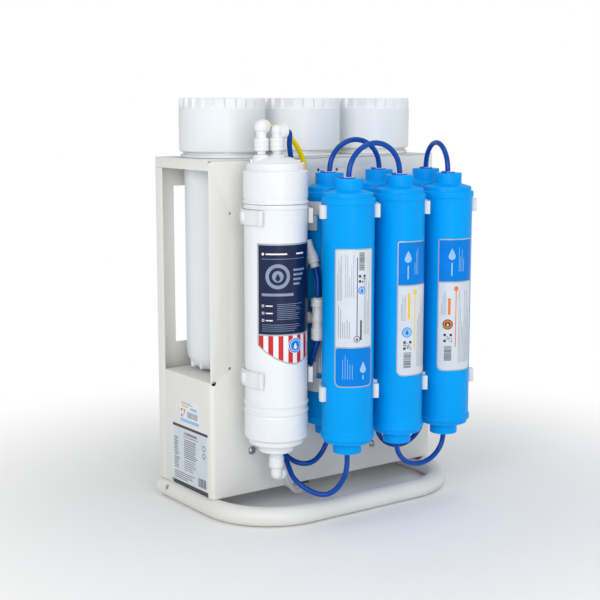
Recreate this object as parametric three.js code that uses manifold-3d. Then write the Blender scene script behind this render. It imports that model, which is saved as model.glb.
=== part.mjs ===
// Under-sink reverse osmosis unit: sheet-steel frame on a bent tube base, three screw-cap canisters,
// one membrane housing and six inline cartridges held in double clips and joined by push-fit tube.
// Units are millimetres, X runs along the front panel, Y points to the back, Z is up.
import * as THREE from 'three';
import * as BufferGeometryUtils from 'three/addons/utils/BufferGeometryUtils.js';
import Module from 'manifold-3d';

const wasm = await Module();
wasm.setup();

// ---- driving dimensions -------------------------------------------------------------------------
const GAP = 0.3;                 // clearance left between neighbouring solids
const SHIFT_Y = 5.5;             // centres the whole unit on Y; the panel face sits at this Y
const SHEET = 1.5;               // sheet-steel thickness
const FRAME_W = 346;             // frame width
const FRAME_D = 126;             // frame depth
const FRAME_TOP = 434;           // top face of the top plate
const RING_D = 23.4;             // base tube diameter
const RING_HALF = 167.3;         // base tube centreline, half width
const RING_FRONT = -76.8;        // base tube centreline, front leg
const RING_BEND = 84.3;          // base tube bend radius
const SHEET_FOOT = RING_D + GAP; // lower edge of every sheet part
const BOX_TOP = 168;             // roof of the pump box
const BOX_RIGHT = -42;           // right wall of the pump box
const POST_SIDE = 15;            // rear post, side leg
const POST_BACK = 25;            // rear post, back leg
const WINDOW_TOP = 397;          // rear window, upper edge
const WINDOW_FOOT = 198;         // rear window, lower edge

const CAN_X = 4.2;               // middle canister
const CAN_PITCH = 115.2;
const CAN_Y = 67.8;
const CAN_R = 47;                // cup radius
const CAP_R = 53.1;              // screw cap radius
const CAP_TOP = 506;
const CAP_FOOT = 441;
const CAP_TEETH = 24;            // grip notches round the upper band of a cap
const BAND_FOOT = 493;           // lower edge of that band
const CUP_FOOT = 169.5;
const LINK_Z = 415;              // height of the links between canisters

const TUBE_R = 3.175;            // quarter-inch tube
const BORE_R = 3.7;              // bore of a push-fit port

const FIL_R = 30.6;              // inline cartridge body radius
const FIL_FLANGE_R = 32;
const FIL_BOSS_R = 17;
const FIL_TOP = 417;
const FIL_FOOT = 91.5;           // front row; the back row ends a little higher
const BACK_FOOT = 97;
const FIL_PITCH = 76.8;
const BACK_X = -28.3;            // first cartridge of the back row
const BACK_Y = -42;
const FRONT_X = -48;             // first cartridge of the front row
const FRONT_Y = -105;
const FRONT_SEAT = [-3, -1.3, -1.6];  // how far each cartridge sits off its nominal height
const BACK_SEAT = [0, 1.8, 0.6];

const MEM_X = -112;              // membrane housing axis
const MEM_Y = -49;
const MEM_R = 37.2;
const MEM_DRUM_R = 37.9;
const BALL_R = 6.6;              // ball at the turn of a push-fit elbow
const UPPER_STEPS = [[6, GAP, 4.4], [8.4, 4.3, 19]]; // radius, start and end of each collar above the housing
const LOWER_STEPS = [[8.2, GAP, 6], [8.9, 5.6, 18.2]];

const WHITE = 0xe9ecee;
const BLUE = 0x1f9cf0;

// ---- helpers ------------------------------------------------------------------------------------
function lathe(profile, segments = 24) {
  const geometry = new THREE.LatheGeometry(profile.map(([r, z]) => new THREE.Vector2(r, z)), segments);
  geometry.rotateX(Math.PI / 2);
  return geometry;
}

function box(x0, x1, y0, y1, z0, z1) {
  const geometry = new THREE.BoxGeometry(x1 - x0, y1 - y0, z1 - z0);
  geometry.translate((x0 + x1) / 2, (y0 + y1) / 2, (z0 + z1) / 2);
  return geometry;
}

function rod(radius, from, to, segments = 16) {
  const a = new THREE.Vector3(...from);
  const b = new THREE.Vector3(...to);
  const geometry = new THREE.CylinderGeometry(radius, radius, a.distanceTo(b), segments);
  const turn = new THREE.Quaternion().setFromUnitVectors(new THREE.Vector3(0, 1, 0), b.clone().sub(a).normalize());
  geometry.applyQuaternion(turn);
  geometry.translate((a.x + b.x) / 2, (a.y + b.y) / 2, (a.z + b.z) / 2);
  return geometry;
}

function prism(points, z0, z1) {
  const shape = new THREE.Shape(points.map(([x, y]) => new THREE.Vector2(x, y)));
  const geometry = new THREE.ExtrudeGeometry(shape, { depth: z1 - z0, bevelEnabled: false });
  geometry.translate(0, 0, z0);
  return geometry;
}

function solid(geometry) {
  const plain = geometry.clone();
  plain.deleteAttribute('normal');
  plain.deleteAttribute('uv');
  const merged = BufferGeometryUtils.mergeVertices(plain, 1e-4);
  return new wasm.Manifold(new wasm.Mesh({
    numProp: 3,
    vertProperties: new Float32Array(merged.attributes.position.array),
    triVerts: new Uint32Array(merged.index.array),
  }));
}

function combine(added, removed = []) {
  let body = solid(added[0]);
  for (const geometry of added.slice(1)) {
    body = body.add(solid(geometry));
  }
  for (const geometry of removed) {
    body = body.subtract(solid(geometry));
  }
  const mesh = body.getMesh();
  const geometry = new THREE.BufferGeometry();
  geometry.setAttribute('position', new THREE.BufferAttribute(new Float32Array(mesh.vertProperties), 3));
  geometry.setIndex(new THREE.BufferAttribute(new Uint32Array(mesh.triVerts), 1));
  return geometry;
}

function piece(name, geometry, color, roughness = 0.4, metalness = 0) {
  const flat = geometry.index ? geometry.toNonIndexed() : geometry;
  flat.translate(0, SHIFT_Y, 0);
  flat.computeVertexNormals();
  const mesh = new THREE.Mesh(flat, new THREE.MeshStandardMaterial({ color, roughness, metalness }));
  mesh.name = name;
  return mesh;
}

function sweep(curve, radius, sides, steps) {
  const ring = [];
  for (let i = 0; i < sides; i += 1) {
    const angle = ((i + 0.5) / sides) * Math.PI * 2;
    ring.push(new THREE.Vector2(radius * Math.cos(angle), radius * Math.sin(angle)));
  }
  return new THREE.ExtrudeGeometry(new THREE.Shape(ring), { steps, extrudePath: curve, bevelEnabled: false });
}

function tube(name, points, color) {
  const curve = new THREE.CatmullRomCurve3(points.map((p) => new THREE.Vector3(...p)), false, 'centripetal');
  const steps = Math.max(4, Math.round(curve.getLength() / (TUBE_R * 3.3)));
  return piece(name, sweep(curve, TUBE_R, 8, steps), color, 0.25);
}

// half loop between two port mouths, bulging by `rise` above (positive) or below (negative) them
function loop(name, from, to, rise, color) {
  const up = Math.sign(rise);
  const points = [[from[0], from[1], from[2] - up * 8.5], [from[0], from[1], from[2] + up * 3]];
  for (let i = 1; i < 8; i += 1) {
    const angle = (i / 8) * Math.PI;
    const along = (1 - Math.cos(angle)) / 2;
    const x = from[0] + (to[0] - from[0]) * along;
    const y = from[1] + (to[1] - from[1]) * along;
    const mouth = from[2] + (to[2] - from[2]) * along;
    points.push([x, y, mouth + up * 3 + (rise - up * 3) * Math.sin(angle)]);
  }
  points.push([to[0], to[1], to[2] + up * 3], [to[0], to[1], to[2] - up * 8.5]);
  return tube(name, points, color);
}

// ---- frame --------------------------------------------------------------------------------------
function baseRing() {
  const z = RING_D / 2;
  const left = -RING_HALF;
  const right = RING_HALF;
  const turn = RING_FRONT + RING_BEND;
  const point = (x, y) => new THREE.Vector3(x, y, z);
  const corner = (cx, from, to) => {
    const points = [];
    for (let i = 0; i <= 8; i += 1) {
      const angle = from + ((to - from) * i) / 8;
      points.push(point(cx + RING_BEND * Math.cos(angle), turn + RING_BEND * Math.sin(angle)));
    }
    return points;
  };
  const points = [
    point(left, FRAME_D),
    ...corner(left + RING_BEND, Math.PI, Math.PI * 1.5),
    ...corner(right - RING_BEND, Math.PI * 1.5, Math.PI * 2),
    point(right, FRAME_D),
  ];
  return piece('base_ring', sweptPolyline(points, RING_D / 2, 16), WHITE, 0.35, 0.1);
}

// tube along straight runs with one shared ring of vertices at each corner
function sweptPolyline(points, radius, sides) {
  const positions = [];
  const index = [];
  const up = new THREE.Vector3(0, 0, 1);
  points.forEach((p, i) => {
    const before = points[Math.max(i - 1, 0)];
    const after = points[Math.min(i + 1, points.length - 1)];
    const a = p.clone().sub(before).normalize();
    const b = after.clone().sub(p).normalize();
    const along = a.lengthSq() === 0 ? b : b.lengthSq() === 0 ? a : a.clone().add(b).normalize();
    const stretch = 1 / Math.max(0.5, Math.cos(a.lengthSq() * b.lengthSq() === 0 ? 0 : a.angleTo(b) / 2));
    const side = new THREE.Vector3().crossVectors(along, up).normalize();
    for (let k = 0; k < sides; k += 1) {
      const angle = ((k + 0.5) / sides) * Math.PI * 2;
      const flat = radius / Math.cos(Math.PI / sides);
      const v = p.clone().addScaledVector(side, flat * stretch * Math.cos(angle));
      v.addScaledVector(up, flat * Math.sin(angle));
      positions.push(v.x, v.y, v.z);
    }
  });
  for (let i = 0; i + 1 < points.length; i += 1) {
    for (let k = 0; k < sides; k += 1) {
      const a = i * sides + k;
      const b = i * sides + ((k + 1) % sides);
      index.push(a, a + sides, b, b, a + sides, b + sides);
    }
  }
  const last = (points.length - 1) * sides;
  for (let k = 1; k + 1 < sides; k += 1) {
    index.push(0, k, k + 1);
    index.push(last, last + k + 1, last + k);
  }
  const geometry = new THREE.BufferGeometry();
  geometry.setAttribute('position', new THREE.BufferAttribute(new Float32Array(positions), 3));
  geometry.setIndex(index);
  return geometry;
}

function arcPoints(cx, cy, radius, from, to, count) {
  const points = [];
  for (let i = 0; i <= count; i += 1) {
    const angle = from + ((to - from) * i) / count;
    points.push([cx + radius * Math.cos(angle), cy + radius * Math.sin(angle)]);
  }
  return points;
}

// upper face sheet plus a lower part that bends round into the left wall of the pump box
function frontPanel() {
  const half = FRAME_W / 2;
  const top = FRAME_TOP - SHEET - GAP;
  const bend = 6;
  const wallEnd = FRAME_D - POST_SIDE - GAP;
  const upper = box(-half, half, 0, SHEET, BOX_TOP, top);
  const lower = prism([
    ...arcPoints(-half + bend, bend, bend, Math.PI * 1.5, Math.PI, 5),
    [-half, wallEnd],
    [-half + SHEET, wallEnd],
    ...arcPoints(-half + bend, bend, bend - SHEET, Math.PI, Math.PI * 1.5, 5),
    [half, SHEET],
    [half, 0],
  ], SHEET_FOOT, BOX_TOP + 0.01);
  const relief = rod(3.2, [-half + 4.6, -1, BOX_TOP - 0.4], [-half + 4.6, 3, BOX_TOP - 0.4], 12);
  const spare = [[-143.9, 370.6], [-145.8, 183.3], [-13.7, 417.9], [15.1, 417.6]]
    .map(([x, z]) => rod(2.1, [x, -1, z], [x, 3, z], 10));
  return piece('front_panel', combine([upper, lower], [relief, ...spare, ...cornerReliefs()]), WHITE, 0.35, 0.1);
}

function cornerReliefs() {
  const reach = FRAME_W / 2 - 1.4;
  return [-reach, reach].map((x) => rod(1.5, [x, -1, FRAME_TOP - 2], [x, 4, FRAME_TOP - 2], 10));
}

function topPlate() {
  const half = FRAME_W / 2;
  const lip = FRAME_TOP - 12.7;
  const under = FRAME_TOP - SHEET;
  const added = [
    box(-half, half, 0, FRAME_D, under, FRAME_TOP),
    box(-half, -half + SHEET, 0, FRAME_D, lip, FRAME_TOP),
    box(half - SHEET, half, 0, FRAME_D, lip, FRAME_TOP),
  ];
  const removed = canisterXs().map((x) => rod(CAN_R + 0.9, [x, CAN_Y, under - 2], [x, CAN_Y, FRAME_TOP + 2], 20));
  removed.push(box(-half - 1, -half + SHEET + 1, -1, SHEET + GAP, lip - 1, under - GAP));
  removed.push(box(half - SHEET - 1, half + 1, -1, SHEET + GAP, lip - 1, under - GAP));
  removed.push(...cornerReliefs());
  return piece('top_plate', combine(added, removed), WHITE, 0.35, 0.1);
}

// rear sheet with one window, side legs folded forward; the upper legs stop under the top plate lip
function rearFrame() {
  const half = FRAME_W / 2;
  const top = FRAME_TOP - SHEET - GAP;
  const legTop = FRAME_TOP - 12.7 - GAP;
  const inner = half - POST_BACK;
  const inset = SHEET + GAP;
  const added = [
    box(-half, half, FRAME_D - SHEET, FRAME_D, SHEET_FOOT, legTop),
    box(-half + inset, half - inset, FRAME_D - SHEET, FRAME_D, legTop - 1, top),
    box(-half, -half + SHEET, FRAME_D - POST_SIDE, FRAME_D, SHEET_FOOT, legTop),
    box(half - SHEET, half, FRAME_D - POST_SIDE, FRAME_D, SHEET_FOOT, legTop),
  ];
  const removed = [box(-inner, inner, FRAME_D - 4, FRAME_D + 2, WINDOW_FOOT, WINDOW_TOP)];
  return piece('rear_frame', combine(added, removed), WHITE, 0.35, 0.1);
}

// roof of the pump box, bent down into its inner wall
function pumpCover() {
  const left = -FRAME_W / 2 + SHEET + GAP;
  const front = 6 + GAP;
  const back = FRAME_D - POST_SIDE - GAP;
  const bend = 5;
  const section = [
    [left, BOX_TOP - SHEET],
    [left, BOX_TOP],
    ...arcPoints(BOX_RIGHT - bend, BOX_TOP - bend, bend, Math.PI / 2, 0, 4),
    [BOX_RIGHT, SHEET_FOOT + SHEET + GAP],
    [BOX_RIGHT - SHEET, SHEET_FOOT + SHEET + GAP],
    ...arcPoints(BOX_RIGHT - bend, BOX_TOP - bend, bend - SHEET, 0, Math.PI / 2, 4),
  ];
  const geometry = prism(section, 0, back - front);
  geometry.rotateX(Math.PI / 2);
  geometry.translate(0, back, 0);
  return piece('pump_cover', geometry, WHITE, 0.35, 0.1);
}

function floorPan() {
  const half = FRAME_W / 2 - SHEET - GAP;
  const plate = box(-half, half, 6.3, FRAME_D - SHEET - GAP, SHEET_FOOT, SHEET_FOOT + SHEET);
  const hole = rod(8.5, [-53, 21, SHEET_FOOT - 2], [-53, 21, SHEET_FOOT + 4], 16);
  return piece('floor_pan', combine([plate], [hole]), WHITE, 0.5, 0.2);
}

// ---- pump box contents --------------------------------------------------------------------------
function boosterPump() {
  const z = 66;
  const x = -132;
  const floor = SHEET_FOOT + SHEET + GAP;
  const added = [
    rod(31, [x, 14, z], [x, 78, z], 20),
    rod(27, [x, 77, z], [x, 84, z], 20),
    box(x - 33, x + 33, 84, 106, z - 33, z + 33),
    box(x - 24, x + 24, 20, 72, floor, z - 24),
    rod(7, [x - 20, 95, z + 32], [x - 20, 95, z + 46], 12),
    rod(7, [x + 20, 95, z + 32], [x + 20, 95, z + 46], 12),
  ];
  const ports = [-20, 20].map((dx) => rod(BORE_R, [x + dx, 95, 101], [x + dx, 95, 114], 12));
  return piece('booster_pump', combine(added, ports), 0x3a3d40, 0.6);
}

function powerSupply() {
  const floor = SHEET_FOOT + SHEET + GAP;
  const added = [
    box(-82, -46, 56, 108, floor, 108),
    rod(2.6, [-64, 70, 107], [-64, 70, 116], 8),
    rod(2.6, [-64, 94, 107], [-64, 94, 116], 8),
  ];
  return piece('power_supply', combine(added), 0x232527, 0.7);
}

// ---- canisters ----------------------------------------------------------------------------------
function canisterXs() {
  return [-1, 0, 1].map((i) => CAN_X + i * CAN_PITCH);
}

function canisterBody(index, x) {
  const flange = FRAME_TOP + GAP;
  const profile = [
    [0, CUP_FOOT], [24, CUP_FOOT], [38, CUP_FOOT + 6], [45, CUP_FOOT + 15], [CAN_R, CUP_FOOT + 26],
    [CAN_R, flange], [51.2, flange], [51.2, flange + 3.4], [48.2, flange + 3.4], [48.2, 494],
    [44.4, 494], [43.6, CUP_FOOT + 26], [36, CUP_FOOT + 7], [0, CUP_FOOT + 7],
  ];
  const geometry = lathe(profile, 20);
  geometry.translate(x, CAN_Y, 0);
  return piece(`canister_body_${index}`, geometry, WHITE, 0.3);
}

function canisterCap(index, x) {
  const wall = 49.2;
  const profile = [
    [0, CAP_TOP - 1.2], [CAP_R - 8, CAP_TOP - 1.2], [CAP_R - 5, CAP_TOP], [CAP_R - 1, CAP_TOP],
    [CAP_R, CAP_TOP - 2], [CAP_R, CAP_FOOT + 3], [CAP_R - 1.6, CAP_FOOT], [wall, CAP_FOOT],
    [wall, CAP_TOP - 5.5], [0, CAP_TOP - 5.5],
  ];
  const body = lathe(profile.slice().reverse(), 32);
  body.translate(x, CAN_Y, 0);
  const notches = [];
  for (let i = 0; i < CAP_TEETH; i += 1) {
    const angle = ((i + 0.5) / CAP_TEETH) * Math.PI * 2;
    const notch = new THREE.BoxGeometry(2.6, 2.6, 14);
    notch.rotateZ(angle + Math.PI / 4);
    notch.translate(x + (CAP_R + 0.2) * Math.cos(angle), CAN_Y + (CAP_R + 0.2) * Math.sin(angle), BAND_FOOT + 7);
    notches.push(notch);
  }
  return piece(`canister_cap_${index}`, combine([body], notches), WHITE, 0.35);
}

function canisterSeal(index, x) {
  const mid = 46.3;
  const z = 497.4;
  const r = 1.7;
  const profile = [];
  for (let i = 0; i <= 6; i += 1) {
    const angle = (i / 6) * Math.PI * 2;
    profile.push([mid + r * Math.cos(angle), z + r * Math.sin(angle)]);
  }
  const geometry = lathe(profile, 20);
  geometry.translate(x, CAN_Y, 0);
  return piece(`canister_seal_${index}`, geometry, 0x1c1c1e, 0.8);
}

function canisterCartridge(index, x) {
  const foot = CUP_FOOT + 7 + GAP;
  const profile = [
    [0, foot], [30, foot], [30, foot + 8], [33, foot + 8.5], [33, 462], [30, 462.5], [30, 470], [0, 470],
  ];
  const geometry = lathe(profile, 14);
  geometry.translate(x, CAN_Y, 0);
  return piece(`canister_cartridge_${index}`, geometry, 0xf2efe6, 0.9);
}

function canisterLink(index, x) {
  const reach = CAN_PITCH / 2 - CAN_R - GAP;
  const added = [
    rod(7, [x - reach, CAN_Y, LINK_Z], [x + reach, CAN_Y, LINK_Z], 12),
    rod(9.5, [x - 3, CAN_Y, LINK_Z], [x + 3, CAN_Y, LINK_Z], 6),
  ];
  return piece(`canister_link_${index}`, combine(added), WHITE, 0.4);
}

// ---- membrane housing ---------------------------------------------------------------------------
const PERMEATE = [-109.4, -47.9];
const WASTE = [-128.1, -43.7];

function membraneHousing() {
  const profile = [
    [0, 87.3], [19, 87.3], [21, 88.8], [21.4, 96.6], [29.4, 97.6], [33, 99.6], [33, 104.6], [MEM_DRUM_R, 107.4],
    [MEM_DRUM_R, 134], [38.5, 139.5], [MEM_R, 142], [MEM_R, 146.5], [38.5, 149], [MEM_R, 151.5],
    [MEM_R, 379], [38.4, 380.4], [MEM_R, 382], [MEM_R, 384.6], [34, 384.6], [34, 110], [0, 100],
  ];
  const body = lathe(profile, 20);
  body.translate(MEM_X, MEM_Y, 0);
  const boss = rod(9, [MEM_X, MEM_Y, 85.5], [MEM_X, MEM_Y, 92], 16);
  const bore = rod(6.2, [MEM_X, MEM_Y, 78], [MEM_X, MEM_Y, 105], 12);
  return piece('membrane_housing', combine([body, boss], [bore]), WHITE, 0.25);
}

function membraneCap() {
  const profile = [
    [0, 439], [15, 439], [24.9, 433.5], [33.4, 431.6], [34, 425], [MEM_DRUM_R, 422.5],
    [MEM_DRUM_R, 390], [38.4, 386.5], [MEM_R, 384.9], [33.6, 384.9], [33.6, 424], [20, 430], [0, 430],
  ];
  const body = lathe(profile.slice().reverse(), 20);
  body.translate(MEM_X, MEM_Y, 0);
  const bosses = [PERMEATE, WASTE].map(([x, y]) => rod(8, [x, y, 434], [x, y, 440.9], 16));
  const bores = [PERMEATE, WASTE].map(([x, y]) => rod(5.2, [x, y, 425], [x, y, 446], 12));
  return piece('membrane_cap', combine([body, ...bosses], bores), WHITE, 0.25);
}

function membraneElement() {
  const profile = [
    [0, 112], [31.5, 114], [31.5, 392], [12, 393], [12, 414], [0, 416],
  ];
  const geometry = lathe(profile, 16);
  geometry.translate(MEM_X, MEM_Y, 0);
  return piece('membrane_element', geometry, 0xd9dde0, 0.6);
}

// push-fit elbow: a spigot into the housing, a stepped collar, a ball at the turn and a socket for the tube
function elbow(name, foot, turnZ, mouth, spigot, steps, spout, ballR = BALL_R) {
  const ball = new THREE.SphereGeometry(ballR, 12, 8);
  ball.translate(foot[0], foot[1], turnZ);
  const up = Math.sign(turnZ - foot[2]);
  const from = new THREE.Vector3(foot[0], foot[1], turnZ);
  const out = new THREE.Vector3(...mouth).sub(from);
  const at = (k) => from.clone().addScaledVector(out, k).toArray();
  const column = (radius, low, high) => rod(
    radius, [foot[0], foot[1], foot[2] + up * low], [foot[0], foot[1], foot[2] + up * high], 12);
  const added = [
    ball,
    column(spigot, -6, 1),
    ...steps.map(([radius, low, high]) => column(radius, low, high)),
    column(6, 14, Math.abs(turnZ - foot[2])),
    rod(6.2, at(0), at(0.5), 12),
    rod(spout, at(0.38), at(1), 12),
  ];
  const bore = rod(BORE_R + 0.3, at(0.42), at(1.4), 8);
  return piece(name, combine(added, [bore]), WHITE, 0.3);
}

// ---- clips --------------------------------------------------------------------------------------
// C-shaped jaw open towards -Y, arms reaching `reach` radians from the back, padded at the tips
function jaw(cx, cy, inner, outer, reach, pad) {
  const start = Math.PI / 2 - reach;
  const end = Math.PI / 2 + reach;
  const count = 12;
  const clear = inner / Math.cos(reach / count);
  const outside = [];
  for (let i = 0; i <= count; i += 1) {
    const angle = start + ((end - start) * i) / count;
    const edge = Math.min(i, count - i) <= 1 ? pad : 0;
    outside.push([cx + (outer + edge) * Math.cos(angle), cy + (outer + edge) * Math.sin(angle)]);
  }
  return [...outside, ...arcPoints(cx, cy, clear, end, start, count)];
}

function membraneClip(name, z0, z1) {
  const inner = MEM_DRUM_R + 0.2;
  const ring = prism(jaw(MEM_X, MEM_Y, inner, inner + 3, 2.17, 2.6), z0, z1);
  const block = box(MEM_X - 8, MEM_X + 8, MEM_Y + inner + 0.6, -GAP, z0, z1);
  return piece(name, combine([ring, block]), WHITE, 0.45);
}

// bar along the panel with one cradle behind each back-row cartridge
function rearClipRail(name, z0, z1) {
  const added = [box(BACK_X - 12, BACK_X + 2 * FIL_PITCH + 12, -3.6, -GAP, z0, z1)];
  for (let i = 0; i < 3; i += 1) {
    const x = BACK_X + i * FIL_PITCH;
    added.push(prism(jaw(x, BACK_Y, FIL_R + GAP, FIL_R + 3.4, 2.05, 2), z0, z1));
    added.push(box(x - 9, x + 9, BACK_Y + FIL_R + 1.5, -1, z0, z1));
  }
  return piece(name, combine(added), WHITE, 0.45);
}

// two jaws back to back: one grips the back cartridge, the other carries the front cartridge
function doubleClip(name, column, z0, z1) {
  const bx = BACK_X + column * FIL_PITCH;
  const fx = FRONT_X + column * FIL_PITCH;
  const tilt = Math.atan2(fx - bx, BACK_Y - FRONT_Y);
  const inner = FIL_R + GAP;
  const outer = inner + 3.2;
  const front = prism(jaw(0, 0, inner, outer, 1.85, 3.2), z0, z1);
  front.rotateZ(tilt);
  front.translate(fx, FRONT_Y, 0);
  const back = prism(jaw(0, 0, inner, outer, 1.9, 1.2), z0, z1);
  back.rotateZ(Math.PI + tilt);
  back.translate(bx, BACK_Y, 0);
  return piece(name, combine([front, back]), WHITE, 0.45);
}

function frontPort(i, z) {
  return [FRONT_X + i * FIL_PITCH, FRONT_Y, z + FRONT_SEAT[i]];
}

function backPort(i, z) {
  return [BACK_X + i * FIL_PITCH, BACK_Y, z + BACK_SEAT[i]];
}

// ---- inline cartridges --------------------------------------------------------------------------
function inlineFilter(name, x, y, top, foot) {
  const end = [
    [0, -11], [BORE_R, -11], [BORE_R, 0], [FIL_BOSS_R, 0], [FIL_BOSS_R, -12.6],
    [28.6, -17], [29.6, -21.8], [FIL_FLANGE_R, -22], [FIL_FLANGE_R, -29], [FIL_R, -29.4],
  ];
  const upper = end.map(([r, z]) => [r, top + z]);
  const lower = end.map(([r, z]) => [r, foot - z * 0.86]).reverse();
  const geometry = lathe([...upper, ...lower].reverse(), 16);
  geometry.translate(x, y, 0);
  return piece(name, geometry, BLUE, 0.25);
}

// ---- fittings and tube --------------------------------------------------------------------------
const VALVE_FOOT = [-63.3, -60, 308];
const VALVE_TOP = [-68, -51.5, 338.5];
const TEE = [-64.5, -67.5];

function checkValve() {
  const axis = new THREE.Vector3(...VALVE_TOP).sub(new THREE.Vector3(...VALVE_FOOT));
  const top = axis.length();
  const profile = [
    [0, 10], [BORE_R, 10], [BORE_R, 0], [5.4, 0], [5.4, 3.6], [7.2, 4.2], [7.4, 9], [7.1, 14],
    [5.4, 20.5], [5, 23], [5, top], [BORE_R, top], [BORE_R, top - 8], [0, top - 8],
  ];
  const geometry = lathe(profile, 12);
  geometry.applyQuaternion(new THREE.Quaternion().setFromUnitVectors(new THREE.Vector3(0, 0, 1), axis.normalize()));
  geometry.translate(...VALVE_FOOT);
  return piece('check_valve', geometry, WHITE, 0.3);
}

function teeFitting() {
  const [x, y] = TEE;
  const branch = (k) => [x - 2.2 * k, y + 17.8 * k, 245.5];
  const added = [
    rod(6.8, [x, y, 221], [x, y, 270], 12),
    rod(8.2, [x, y, 221], [x, y, 234], 12),
    rod(8.2, [x, y, 261], [x, y, 270], 12),
    rod(6.2, [x, y, 245.5], branch(1), 12),
    rod(6.9, branch(0.72), branch(1), 12),
  ];
  const removed = [
    rod(BORE_R, [x, y, 219], [x, y, 234], 8),
    rod(BORE_R, [x, y, 257], [x, y, 272], 8),
    rod(BORE_R, branch(0.44), branch(1.2), 8),
  ];
  return piece('tee', combine(added, removed), WHITE, 0.3);
}

// ported block fixed to the panel behind the membrane housing
function portBlock() {
  const y = -5.4;
  const added = [box(-104, -66, -10, -GAP, 246, 268)];
  const removed = [-98, -87, -76].map((x) => rod(BORE_R, [x, y, 244], [x, y, 254], 8));
  removed.push(rod(BORE_R, [-92, y, 260], [-92, y, 270], 8));
  removed.push(rod(BORE_R + 0.8, [-72, -12, 260.5], [-72, -3, 260.5], 8));
  return piece('port_block', combine(added, removed), WHITE, 0.4);
}

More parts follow.
